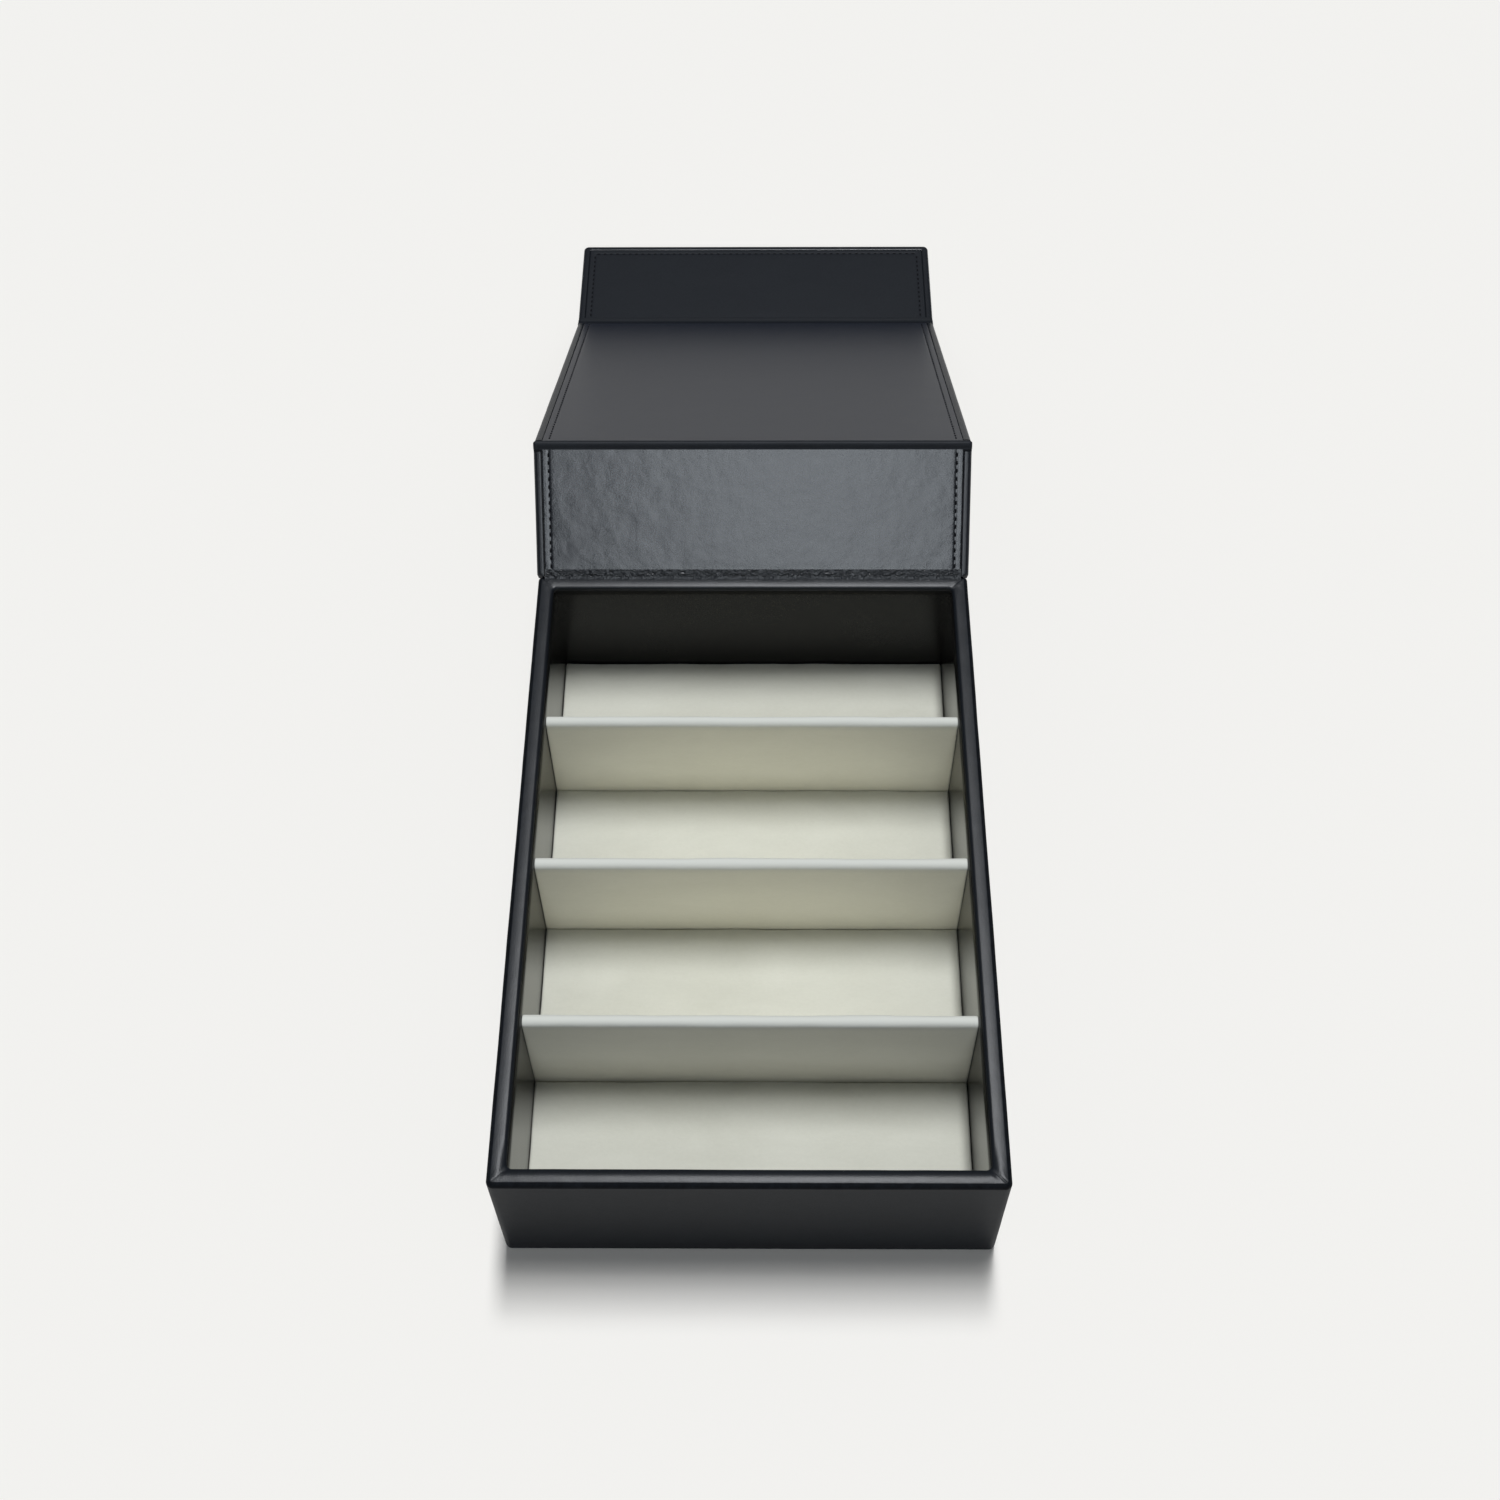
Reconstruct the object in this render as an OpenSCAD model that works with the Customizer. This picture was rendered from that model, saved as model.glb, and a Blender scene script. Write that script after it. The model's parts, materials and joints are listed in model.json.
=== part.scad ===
// Leather-covered jewelry tray with a three-panel folding lid.
// The tray stands on its underside. X is the width, the front wall faces -Y,
// the lid is folded open behind the tray towards +Y, and Z is up.
// The origin is the centre of the tray's underside.

/* [Tray] */
// Outside width of the tray
tray_w = 180; // [150:1:230]
// Outside length of the tray, front to back
tray_l = 268; // [240:1:340]
// Height of the walls, to the top of the rim
tray_h = 64; // [57:1:80]
// Radius of the upright outside corners
corner_r = 2.5; // [2:0.5:5]
// Radius of the rim's outside edge
rim_r = 2.6; // [1.5:0.1:3.5]
// Radius of the rim's inside edge
rim_in_r = 1.8; // [0.8:0.1:2]
// Thickness of the wall boards
wall_t = 5; // [4:0.5:8]
// Thickness of the base board
base_t = 3; // [2:0.5:5]
// Width of the leather turned under the base
turn_in = 12; // [8:1:20]

/* [Leather and lining] */
// Thickness of the outside leather
leather_t = 1; // [0.8:0.1:1.4]
// Thickness of the card-backed wall linings
lining_t = 1.5; // [1.2:0.1:2.5]
// How far the rim leather is turned down inside the walls
rim_turn = 12; // [6:1:20]
// Thickness of the bottom sheet below the turned-in leather
sheet_t = 0.8; // [0.6:0.1:1.5]

/* [Dividers and pads] */
// Thickness of each divider over its suede
div_t = 5; // [4:0.5:8]
// Thickness of each divider's core board
core_t = 2; // [1.5:0.5:3]
// Distance from one divider to the next
div_pitch = 66; // [55:1:75]
// Distance of the middle divider in front of the tray's centre
div_shift = 3.5; // [0:0.5:6]
// How far the dividers stop below the rim
div_drop = 3.5; // [2:0.5:12]
// Height of the tenons at the dividers' ends
tenon_h = 32; // [15:1:35]
// Thickness of the cards under the pads
card_t = 1.5; // [1:0.5:2.5]
// Height of the pads' top above the base board
pad_h = 8; // [6:0.2:14]
// Thickness of the suede
suede_t = 0.8; // [0.6:0.1:1.2]
// Gap round each pad
pad_gap = 0.4; // [0.3:0.1:1]

/* [Lid] */
// Width of the lid panels
lid_w = 181; // [150:1:232]
// Length of the rear panel, from the rear hinge to the ridge
rear_panel = 58; // [45:1:80]
// Length of the front flap, from its fold to its edge
flap_len = 57; // [40:1:60]
// Tilt of the rear panel above the horizontal with the lid folded back
open_tilt = 48; // [30:1:60]
// Thickness of the lid boards
lid_board = 2.5; // [2:0.5:4]
// Thickness of the lid's lining leather
lid_lining = 0.8; // [0.6:0.1:1.2]
// Width of the skin turned over onto the inside of the lid
lip = 3.3; // [2:0.1:6]
// Clear space kept between the closed lid and the rim
lid_gap = 0.5; // [0.3:0.1:1]
// Distance of the rear hinge line inside the rear face
hinge_in = 3.5; // [2:0.5:5]
// Distance from the rear hinge line to the rear panel's edge
hinge_gap = 2.2; // [2:0.1:4]
// Distance from the rear hinge line to the end of the hinge leather
hinge_bare = 5; // [4.5:0.5:8]
// Bare leather each side of the ridge
ridge_bare = 4.2; // [4:0.2:6]
// Bare leather each side of the flap's fold
flap_bare = 3; // [2:0.5:5]

/* [Stitching] */
// Distance from one stitch to the next
stitch_pitch = 3.3; // [2.5:0.1:5]
// Length of the thread that shows in one stitch
stitch_len = 2.4; // [1.5:0.1:3]
// Width of the thread
stitch_w = 0.7; // [0.5:0.1:1]
// Distance of the stitch row from the panel's edge
stitch_in = 6.2; // [5:0.1:10]

/* [Magnets] */
// Radius of the closing magnets
magnet_r = 5; // [3:0.5:6]
// Thickness of the closing magnets
magnet_t = 1.5; // [1:0.1:1.5]
// Distance of each magnet from the middle of the flap
magnet_x = 55; // [20:1:65]
// Distance of the magnets from the flap's edge
magnet_in = 12; // [9:1:18]

/* [Hidden] */
$fn = 48;
eps = 0.01;

// Colours
c_leather = [0.10, 0.105, 0.12];
c_lining = [0.07, 0.07, 0.08];
c_suede = [0.80, 0.78, 0.68];
c_foam = [0.90, 0.88, 0.80];
c_board = [0.62, 0.50, 0.36];
c_card = [0.55, 0.54, 0.50];
c_thread = [0.06, 0.06, 0.07];
c_magnet = [0.72, 0.72, 0.74];

// Tray levels and faces
hw = tray_w / 2;
hl = tray_l / 2;
turn_t = 0.8;                       // turned-in leather below the walls
leg_t = 0.7;                        // turned-down leather inside the walls
wall_z0 = sheet_t + turn_t;         // underside of the walls and the base board
wall_z1 = tray_h - leather_t;       // top of the wall boards
base_z1 = wall_z0 + base_t;         // top of the base board
bx = hw - leather_t;                // outside faces of the wall boards
by = hl - leather_t;
ix = bx - wall_t;                   // inside faces of the wall boards
iy = by - wall_t;
cx = ix - lining_t;                 // clear inside of the tray
cy = iy - lining_t;
rebate = wall_t / 2;
turn_z = wall_z1 - rim_turn;        // end of the turned-down leather

// Dividers, from the front
div_y = [for (k = [-1:1]) k * div_pitch - div_shift];
div_top = tray_h - div_drop;
tenon_z0 = base_z1 + 9;
tenon_d = 2;
core_x = cx - 0.3 - suede_t;
cover_x = cx - 0.3;

// Pads, from the front
pad_y0 = [-cy + pad_gap, div_y[0] + div_t / 2 + pad_gap, div_y[1] + div_t / 2 + pad_gap, div_y[2] + div_t / 2 + pad_gap];
pad_y1 = [div_y[0] - div_t / 2 - pad_gap, div_y[1] - div_t / 2 - pad_gap, div_y[2] - div_t / 2 - pad_gap, cy - pad_gap];
pad_x = cx - pad_gap;
pad_top = base_z1 + pad_h;

// Lid. Each panel is drawn with its fold line on the X axis, its length along +Y
// and its inside face just below Z = 0, and is then turned and moved into place.
lid_t = lid_board + lid_lining + leather_t;
main_panel = tray_l - hinge_in + 0.5 - rear_panel;
p0 = [hl - hinge_in, tray_h];
p1 = p0 + rear_panel * [cos(open_tilt), sin(open_tilt)];
p2_z = lid_gap + lid_t;
slope = asin((p1[1] - p2_z) / main_panel);
p2 = p1 + main_panel * [cos(slope), -sin(slope)];
z_in = -lid_gap;
z_lin = z_in - lid_lining;
z_brd = z_lin - lid_board;
z_out = z_brd - leather_t;
edge_r = 1.6;
lx = lid_w / 2;

// ---------- shared shapes ----------

// Upright bar with its two top edges rounded, ro at x = 0 and ri at x = w
module topped(w, h, ro, ri) {
  difference() {
    square([w, h]);
    translate([-eps, h - ro]) square([ro + eps, ro + eps]);
    translate([w - ri, h - ri]) square([ri + eps, ri + eps]);
  }
  translate([ro, h - ro]) circle(r = ro);
  translate([w - ri, h - ri]) circle(r = ri);
}

// Rectangle with rounded corners, centred
module plate(w, l, r) {
  square([w - 2 * r, l], center = true);
  square([w, l - 2 * r], center = true);
  for (sx = [-1, 1], sy = [-1, 1])
    translate([sx * (w / 2 - r), sy * (l / 2 - r)]) circle(r = r);
}

// Profile of the leather round one wall, u = 0 on the outside face
module leather_profile() {
  difference() {
    union() {
      translate([0, sheet_t]) topped(leather_t + wall_t + leg_t, tray_h - sheet_t, rim_r, rim_in_r);
      translate([0, sheet_t]) square([turn_in, turn_t]);
    }
    // the board
    translate([leather_t, wall_z0]) topped(wall_t, wall_z1 - wall_z0, rim_r - leather_t, 0.5);
    // inside the wall below the turned-down edge
    translate([leather_t + wall_t - eps, wall_z0]) square([turn_in, turn_z - wall_z0]);
  }
}

// Leather on a wall of outside length len, drawn along X with the outside at -Y
module wall_leather(len, half) {
  intersection() {
    translate([-len / 2, -half, 0]) rotate([90, 0, 90]) linear_extrude(len) leather_profile();
    linear_extrude(tray_h + 1)
      polygon([[-len / 2, -half], [len / 2, -half], [len / 2 - turn_in - 1, -half + turn_in + 1], [-len / 2 + turn_in + 1, -half + turn_in + 1]]);
    linear_extrude(tray_h + 1)
      if (half == hl) plate(tray_w, tray_l, corner_r); else plate(tray_l, tray_w, corner_r);
  }
}

// Board of a wall, drawn along X with the outside at -Y, u = 0 on the board's outside face
module board_profile() {
  translate([0, wall_z0]) topped(wall_t, wall_z1 - wall_z0, rim_r - leather_t, 0.5);
}

// Front or rear board: rebated at its ends for the side walls and below for the base
module end_wall() {
  difference() {
    intersection() {
      translate([-bx, -by, 0]) rotate([90, 0, 90]) linear_extrude(2 * bx) board_profile();
      linear_extrude(tray_h) plate(2 * bx, 2 * by, corner_r - leather_t);
    }
    for (s = [-1, 1])
      translate([s * (bx - wall_t / 2), -iy, wall_z0 - 1]) cube([wall_t + 2 * eps, 2 * rebate, 3 * tray_h], center = true);
    translate([-ix - rebate, -iy - rebate, wall_z0 - 1]) cube([2 * (ix + rebate), rebate + 1, base_t + 1]);
  }
}

// Side board: its ends enter the rebates, with mortises for the divider tenons
module side_wall() {
  difference() {
    intersection() {
      translate([-iy - rebate, -bx, 0]) rotate([90, 0, 90]) linear_extrude(2 * (iy + rebate)) board_profile();
      linear_extrude(tray_h) plate(2 * by, 2 * bx, corner_r - leather_t);
    }
    translate([-iy - rebate - 1, -ix - rebate, wall_z0 - 1]) cube([2 * (iy + rebate) + 2, rebate + 1, base_t + 1]);
  }
}

// Mortises through a side lining and into its wall, for side s
module mortises(s) {
  for (y = div_y)
    translate([s * (cx + (lining_t + tenon_d) / 2 + 0.05), y, tenon_z0 + tenon_h / 2])
      cube([lining_t + tenon_d + 0.3, core_t + 0.1, tenon_h + 0.1], center = true);
}

// Card-backed lining, stepped over the turned-down leather; runs along X at y = -f
module lining_bar(half_len, f) {
  top = wall_z1 - 0.4;
  translate([-half_len, -f, 0]) rotate([90, 0, 90]) linear_extrude(2 * half_len)
    polygon([[0, base_z1], [lining_t, base_z1], [lining_t, top], [leg_t, top], [leg_t, turn_z], [0, turn_z]]);
}

// ---------- tray ----------

module bottom_sheet() {
  color(c_lining) {
    linear_extrude(sheet_t) plate(tray_w - 5, tray_l - 5, 3);
    linear_extrude(sheet_t + turn_t) plate(tray_w - 2 * turn_in - 0.4, tray_l - 2 * turn_in - 0.4, 1);
  }
}

module base_board() {
  color(c_board)
    translate([-ix - rebate, -iy - rebate, wall_z0]) cube([2 * (ix + rebate), 2 * (iy + rebate), base_t]);
}

module magnet_pocket(x) {
  translate([x, -by - eps, tray_h - flap_len + magnet_in]) rotate([-90, 0, 0]) cylinder(r = magnet_r + 0.05, h = magnet_t + 0.05);
}

module front_wall() {
  color(c_board) difference() {
    end_wall();
    for (x = [-magnet_x, magnet_x]) magnet_pocket(x);
  }
}

module rear_wall() {
  color(c_board) rotate([0, 0, 180]) end_wall();
}

module left_wall() {
  color(c_board) difference() {
    rotate([0, 0, -90]) side_wall();
    mortises(-1);
  }
}

module right_wall() {
  color(c_board) difference() {
    rotate([0, 0, 90]) side_wall();
    mortises(1);
  }
}

module front_leather() { color(c_leather) wall_leather(tray_w, hl); }
module rear_leather() { color(c_leather) rotate([0, 0, 180]) wall_leather(tray_w, hl); }
module left_leather() { color(c_leather) rotate([0, 0, -90]) wall_leather(tray_l, hw); }
module right_leather() { color(c_leather) rotate([0, 0, 90]) wall_leather(tray_l, hw); }

module front_lining() { color(c_lining) lining_bar(ix - leg_t, iy); }
module rear_lining() { color(c_lining) rotate([0, 0, 180]) lining_bar(ix - leg_t, iy); }
module left_lining() {
  color(c_lining) difference() {
    rotate([0, 0, -90]) lining_bar(cy, ix);
    mortises(-1);
  }
}
module right_lining() {
  color(c_lining) difference() {
    rotate([0, 0, 90]) lining_bar(cy, ix);
    mortises(1);
  }
}

// ---------- dividers ----------

module divider_core(k) {
  color(c_card) translate([0, div_y[k], 0]) {
    translate([-core_x, -core_t / 2, base_z1]) cube([2 * core_x, core_t, div_top - 2 - base_z1]);
    translate([-cx - lining_t - tenon_d, -core_t / 2, tenon_z0]) cube([2 * (cx + lining_t + tenon_d), core_t, tenon_h]);
  }
}

module divider_cover(k) {
  r = div_t / 2;
  color(c_suede) difference() {
    translate([-cover_x, div_y[k], 0]) rotate([90, 0, 90]) linear_extrude(2 * cover_x) {
      translate([-r, base_z1]) square([div_t, div_top - r - base_z1]);
      translate([0, div_top - r]) circle(r = r);
    }
    translate([0, div_y[k], 0]) {
      translate([-core_x, -core_t / 2, base_z1 - 1]) cube([2 * core_x, core_t, div_top - 2 - base_z1 + 1]);
      translate([-cx - 5, -core_t / 2, tenon_z0]) cube([2 * (cx + 5), core_t, tenon_h]);
    }
  }
}

module divider_1_core() { divider_core(0); }
module divider_2_core() { divider_core(1); }
module divider_3_core() { divider_core(2); }
module divider_1_cover() { divider_cover(0); }
module divider_2_cover() { divider_cover(1); }
module divider_3_cover() { divider_cover(2); }

// ---------- pads ----------

module pad_card(k) {
  color(c_card) translate([-pad_x + suede_t, pad_y0[k] + suede_t, base_z1])
    cube([2 * (pad_x - suede_t), pad_y1[k] - pad_y0[k] - 2 * suede_t, card_t]);
}

// Block with rounded top edges between y0 and y1
module soft_block(x, y0, y1, z0, z1, r) {
  intersection() {
    translate([-x, y1, z0]) rotate([90, 0, 0]) linear_extrude(y1 - y0) topped(2 * x, z1 - z0, r, r);
    translate([-x, y0, z0]) rotate([90, 0, 90]) linear_extrude(2 * x) topped(y1 - y0, z1 - z0, r, r);
  }
}

module pad_foam(k) {
  color(c_foam)
    soft_block(pad_x - suede_t, pad_y0[k] + suede_t, pad_y1[k] - suede_t, base_z1 + card_t, pad_top - suede_t, 1.2);
}

module pad_cover(k) {
  color(c_suede) difference() {
    soft_block(pad_x, pad_y0[k], pad_y1[k], base_z1, pad_top, 2);
    soft_block(pad_x - suede_t, pad_y0[k] + suede_t, pad_y1[k] - suede_t, base_z1 - 1, pad_top - suede_t, 1.2);
  }
}

module pad_1_card() { pad_card(0); }
module pad_2_card() { pad_card(1); }
module pad_3_card() { pad_card(2); }
module pad_4_card() { pad_card(3); }
module pad_1_foam() { pad_foam(0); }
module pad_2_foam() { pad_foam(1); }
module pad_3_foam() { pad_foam(2); }
module pad_4_foam() { pad_foam(3); }
module pad_1_cover() { pad_cover(0); }
module pad_2_cover() { pad_cover(1); }
module pad_3_cover() { pad_cover(2); }
module pad_4_cover() { pad_cover(3); }

module wall_magnets() {
  color(c_magnet) for (x = [-magnet_x, magnet_x])
    translate([x, -by, tray_h - flap_len + magnet_in]) rotate([-90, 0, 0]) cylinder(r = magnet_r, h = magnet_t);
}

// ---------- lid ----------

module at_rear() { translate([0, p0[0], p0[1]]) rotate([open_tilt, 0, 0]) children(); }
module at_main() { translate([0, p1[0], p1[1]]) rotate([-slope, 0, 0]) children(); }
module at_flap() { translate([0, p2[0], p2[1]]) children(); }

// Cross-section of a covered panel, rounded at its long edges
module panel_section() {
  translate([0, (z_in + z_out) / 2]) plate(lid_w, z_in - z_out, edge_r);
}

// Turned-over skin of a panel from y0 to y1, open at both ends
module side_skin(y0, y1) {
  translate([0, y1, 0]) rotate([90, 0, 0]) linear_extrude(y1 - y0) difference() {
    panel_section();
    translate([-lx + leather_t, z_brd]) square([lid_w - 2 * leather_t, lid_board]);
    translate([-lx + lip, z_lin - eps]) square([lid_w - 2 * lip, lid_lining + 1]);
  }
}

module panel_board(y0, y1) {
  translate([-lx + leather_t, y0, z_brd]) cube([lid_w - 2 * leather_t, y1 - y0, lid_board]);
}

module panel_lining(y0, y1) {
  translate([-lx + lip, y0, z_lin]) cube([lid_w - 2 * lip, y1 - y0, lid_lining]);
}

// Two rows of stitches, laid on the lining
module stitch_rows(y0, y1) {
  n = floor((y1 - y0 - stitch_len) / stitch_pitch);
  s0 = (y0 + y1 - n * stitch_pitch) / 2;
  for (s = [-1, 1], k = [0:n])
    translate([s * (lx - stitch_in) - stitch_w / 2, s0 + k * stitch_pitch - stitch_len / 2, z_in])
      cube([stitch_w, stitch_len, 0.25]);
}

module lid_rear_board() { color(c_card) at_rear() panel_board(hinge_gap, rear_panel - ridge_bare); }
module lid_rear_skin() { color(c_leather) at_rear() side_skin(hinge_gap, rear_panel - ridge_bare); }
module lid_rear_lining() { color(c_leather) at_rear() panel_lining(hinge_bare, rear_panel - ridge_bare); }
module lid_rear_stitching() { color(c_thread) at_rear() stitch_rows(hinge_bare, rear_panel - ridge_bare); }

module lid_main_board() { color(c_card) at_main() panel_board(ridge_bare, main_panel - flap_bare); }
module lid_main_skin() { color(c_leather) at_main() side_skin(ridge_bare, main_panel - flap_bare); }
module lid_main_lining() { color(c_leather) at_main() panel_lining(ridge_bare, main_panel - flap_bare); }
module lid_main_stitching() { color(c_thread) at_main() stitch_rows(ridge_bare, main_panel - flap_bare); }

module flap_board() {
  color(c_card) at_flap() difference() {
    intersection() {
      panel_board(flap_bare, flap_len - leather_t);
      translate([0, 0, z_out]) linear_extrude(lid_t) plate(lid_w - 2 * leather_t, 2 * (flap_len - leather_t), 1.5);
    }
    for (x = [-magnet_x, magnet_x])
      translate([x, flap_len - magnet_in, z_lin - magnet_t - 0.05]) cylinder(r = magnet_r + 0.05, h = magnet_t + 1);
  }
}

module flap_skin() {
  color(c_leather) at_flap() difference() {
    intersection() {
      translate([0, flap_len, 0]) rotate([90, 0, 0]) linear_extrude(flap_len - flap_bare) panel_section();
      translate([-lx, 0, 0]) rotate([90, 0, 90]) linear_extrude(lid_w)
        translate([0, (z_in + z_out) / 2]) plate(2 * flap_len, z_in - z_out, edge_r);
      translate([0, 0, z_out]) linear_extrude(lid_t) plate(lid_w, 2 * flap_len, 2.5);
    }
    translate([-lx + leather_t, -1, z_brd]) cube([lid_w - 2 * leather_t, flap_len - leather_t + 1, lid_board]);
    translate([-lx + lip, -1, z_lin - eps]) cube([lid_w - 2 * lip, flap_len - lip + 1, lid_lining + 1]);
  }
}

module flap_lining() { color(c_leather) at_flap() panel_lining(flap_bare, flap_len - lip); }

// Row of stitches across the flap's free end
module end_stitches() {
  n = floor((2 * (lx - stitch_in) - stitch_len) / stitch_pitch);
  for (k = [0:n])
    translate([(k - n / 2) * stitch_pitch - stitch_len / 2, flap_len - stitch_in - stitch_w / 2, z_in])
      cube([stitch_len, stitch_w, 0.25]);
}

module flap_stitching() {
  color(c_thread) at_flap() {
    stitch_rows(flap_bare, flap_len - stitch_in - 0.6);
    end_stitches();
  }
}

module flap_magnets() {
  color(c_magnet) at_flap() for (x = [-magnet_x, magnet_x])
    translate([x, flap_len - magnet_in, z_lin - magnet_t]) cylinder(r = magnet_r, h = magnet_t);
}

// ---------- hinge leathers ----------

function bez(a, b, c, t) = (1 - t) * (1 - t) * a + 2 * t * (1 - t) * b + t * t * c;
function along(a) = [cos(a), sin(a)];
function inward(a) = [-sin(a), cos(a)];
hinge_t = leather_t + lid_lining;

// Bent strip between two panel ends, from its upper to its lower face
module bent_strip(u0, u1, uc, l0, l1, lc) {
  n = 8;
  translate([-lx, 0, 0]) rotate([90, 0, 90]) linear_extrude(lid_w)
    polygon(concat([for (k = [0:n]) bez(u0, uc, u1, k / n)], [for (k = [n:-1:0]) bez(l0, lc, l1, k / n)]));
}

// From the rear rim onto the inside of the rear panel
module rear_hinge_leather() {
  n = inward(open_tilt);
  d = along(open_tilt);
  top = p0 + (hinge_bare - 0.02) * d + z_in * n;
  low = p0 + (hinge_bare - 0.02) * d + (z_lin + 0.01) * n;
  edge = p0 + (hinge_gap - 0.1) * d + (z_lin + 0.01) * n;
  z = tray_h + 0.02;
  color(c_leather) translate([-lx + lip + 0.1, 0, 0]) rotate([90, 0, 90]) linear_extrude(lid_w - 2 * lip - 0.2)
    polygon([[p0[0] + 0.1, z], [p0[0] + 1.9, z], edge, low, top, [p0[0] + 0.9, z + 0.8], [p0[0] + 0.1, z + 0.8]]);
}

module ridge_hinge_leather() {
  na = inward(open_tilt);
  nb = inward(-slope);
  half = (open_tilt + slope) / 2;
  m = (na + nb) / (2 * cos(half));
  u0 = p1 - (ridge_bare - 0.02) * along(open_tilt) - lid_gap * na;
  u1 = p1 + (ridge_bare - 0.02) * along(-slope) - lid_gap * nb;
  color(c_leather) bent_strip(u0, u1, p1 - 0.4 * m, u0 - hinge_t * na, u1 - hinge_t * nb, p1 - (lid_gap + hinge_t) / cos(half) * m);
}

module flap_hinge_leather() {
  na = inward(-slope);
  nb = inward(0);
  half = slope / 2;
  m = (na + nb) / (2 * cos(half));
  u0 = p2 - (flap_bare - 0.02) * along(-slope) - lid_gap * na;
  u1 = p2 + (flap_bare - 0.02) * along(0) - lid_gap * nb;
  color(c_leather) bent_strip(u0, u1, p2 - lid_gap / cos(half) * m, u0 - hinge_t * na, u1 - hinge_t * nb, p2 - (lid_gap + hinge_t) / cos(half) * m);
}

bottom_sheet();
base_board();
front_wall();
rear_wall();
left_wall();
right_wall();
front_leather();
rear_leather();
left_leather();
right_leather();
front_lining();
rear_lining();
left_lining();
right_lining();
divider_1_core();
divider_2_core();
divider_3_core();
divider_1_cover();
divider_2_cover();
divider_3_cover();
pad_1_card();
pad_2_card();
pad_3_card();
pad_4_card();
pad_1_foam();
pad_2_foam();
pad_3_foam();
pad_4_foam();
pad_1_cover();
pad_2_cover();
pad_3_cover();
pad_4_cover();
wall_magnets();
lid_rear_board();
lid_rear_skin();
lid_rear_lining();
lid_rear_stitching();
lid_main_board();
lid_main_skin();
lid_main_lining();
lid_main_stitching();
flap_board();
flap_skin();
flap_lining();
flap_stitching();
flap_magnets();
rear_hinge_leather();
ridge_hinge_leather();
flap_hinge_leather();
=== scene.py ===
import bpy
import bmesh
import json
import math
import numpy as np
from mathutils import Matrix, Vector

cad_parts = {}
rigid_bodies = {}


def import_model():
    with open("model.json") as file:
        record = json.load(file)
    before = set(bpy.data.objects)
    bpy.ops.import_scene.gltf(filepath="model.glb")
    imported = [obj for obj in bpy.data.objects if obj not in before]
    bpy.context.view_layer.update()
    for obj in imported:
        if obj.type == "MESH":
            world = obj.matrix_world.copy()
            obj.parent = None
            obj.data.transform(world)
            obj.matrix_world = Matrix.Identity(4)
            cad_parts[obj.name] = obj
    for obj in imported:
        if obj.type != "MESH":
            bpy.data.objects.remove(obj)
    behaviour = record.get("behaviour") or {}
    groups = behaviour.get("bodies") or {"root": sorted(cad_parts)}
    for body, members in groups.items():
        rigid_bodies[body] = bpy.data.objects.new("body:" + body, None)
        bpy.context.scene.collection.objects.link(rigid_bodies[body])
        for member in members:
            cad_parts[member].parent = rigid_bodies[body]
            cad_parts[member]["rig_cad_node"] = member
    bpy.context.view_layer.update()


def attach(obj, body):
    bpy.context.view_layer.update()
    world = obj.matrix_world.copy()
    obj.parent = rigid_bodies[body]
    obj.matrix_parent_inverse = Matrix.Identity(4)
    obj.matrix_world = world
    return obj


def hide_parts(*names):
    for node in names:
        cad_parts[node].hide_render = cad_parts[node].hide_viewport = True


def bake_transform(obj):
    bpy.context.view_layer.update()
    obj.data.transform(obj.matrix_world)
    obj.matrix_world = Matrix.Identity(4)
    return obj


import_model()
MM = 0.001
scene = bpy.context.scene
scene.view_settings.view_transform = "Standard"
scene.view_settings.look = "None"
scene.view_settings.exposure = 0.0
scene.view_settings.gamma = 1.0

# ------------------------------------------------------------------ camera
PITCH, YAW, ROLL = 0.9774073, 0.0161966, -0.0126269


def about_z(v, a):
    c, s = math.cos(a), math.sin(a)
    return Vector((c * v[0] - s * v[1], s * v[0] + c * v[1], v[2]))


look = about_z((0, math.cos(PITCH), -math.sin(PITCH)), YAW)
up = about_z((0, math.sin(PITCH), math.cos(PITCH)), YAW)
right = about_z((1, 0, 0), YAW)
r2 = math.cos(ROLL) * right + math.sin(ROLL) * up
u2 = -math.sin(ROLL) * right + math.cos(ROLL) * up
cam_data = bpy.data.cameras.new("camera")
cam_data.sensor_width = 36.0
cam_data.lens = 36.0 * 1880.088 / 1500.0
cam_data.clip_start = 0.01
cam_data.clip_end = 100.0
camera = bpy.data.objects.new("camera", cam_data)
scene.collection.objects.link(camera)
m = Matrix.Identity(4)
for i in range(3):
    m[i][0], m[i][1], m[i][2] = r2[i], u2[i], -look[i]
m[0][3], m[1][3], m[2][3] = 0.006108, -0.368310, 0.677351
camera.matrix_world = m
scene.camera = camera

# ------------------------------------------------------------------ lights
KEY, FILL, AMBIENT = 2.60, 0.30, 0.05


def sun(name, strength, angle, tilt, roll=0.0, color=(1, 1, 1)):
    data = bpy.data.lights.new(name, "SUN")
    data.energy = strength
    data.angle = math.radians(angle)
    data.color = color
    ob = bpy.data.objects.new(name, data)
    ob.rotation_euler = (math.radians(tilt), math.radians(roll), 0)
    ob.location = (0, 0, 2)
    scene.collection.objects.link(ob)
    return ob


sun("front_softbox", FILL, 16, 55, 2.5, (0.92, 0.99, 1.06))
sun("front_softbox_high", FILL * 0.8, 15, 42, 0.0, (0.92, 0.99, 1.06))

# the key is a long softbox overhead, a little behind and to the right: a row of five overlapping discs
for i in range(5):
    sun("key_softbox_%d" % (i + 1), KEY / 5, 7.6, -(14.8 + 4.2 * (i - 2)), 2.0, (0.978, 1.0, 1.032))

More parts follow.
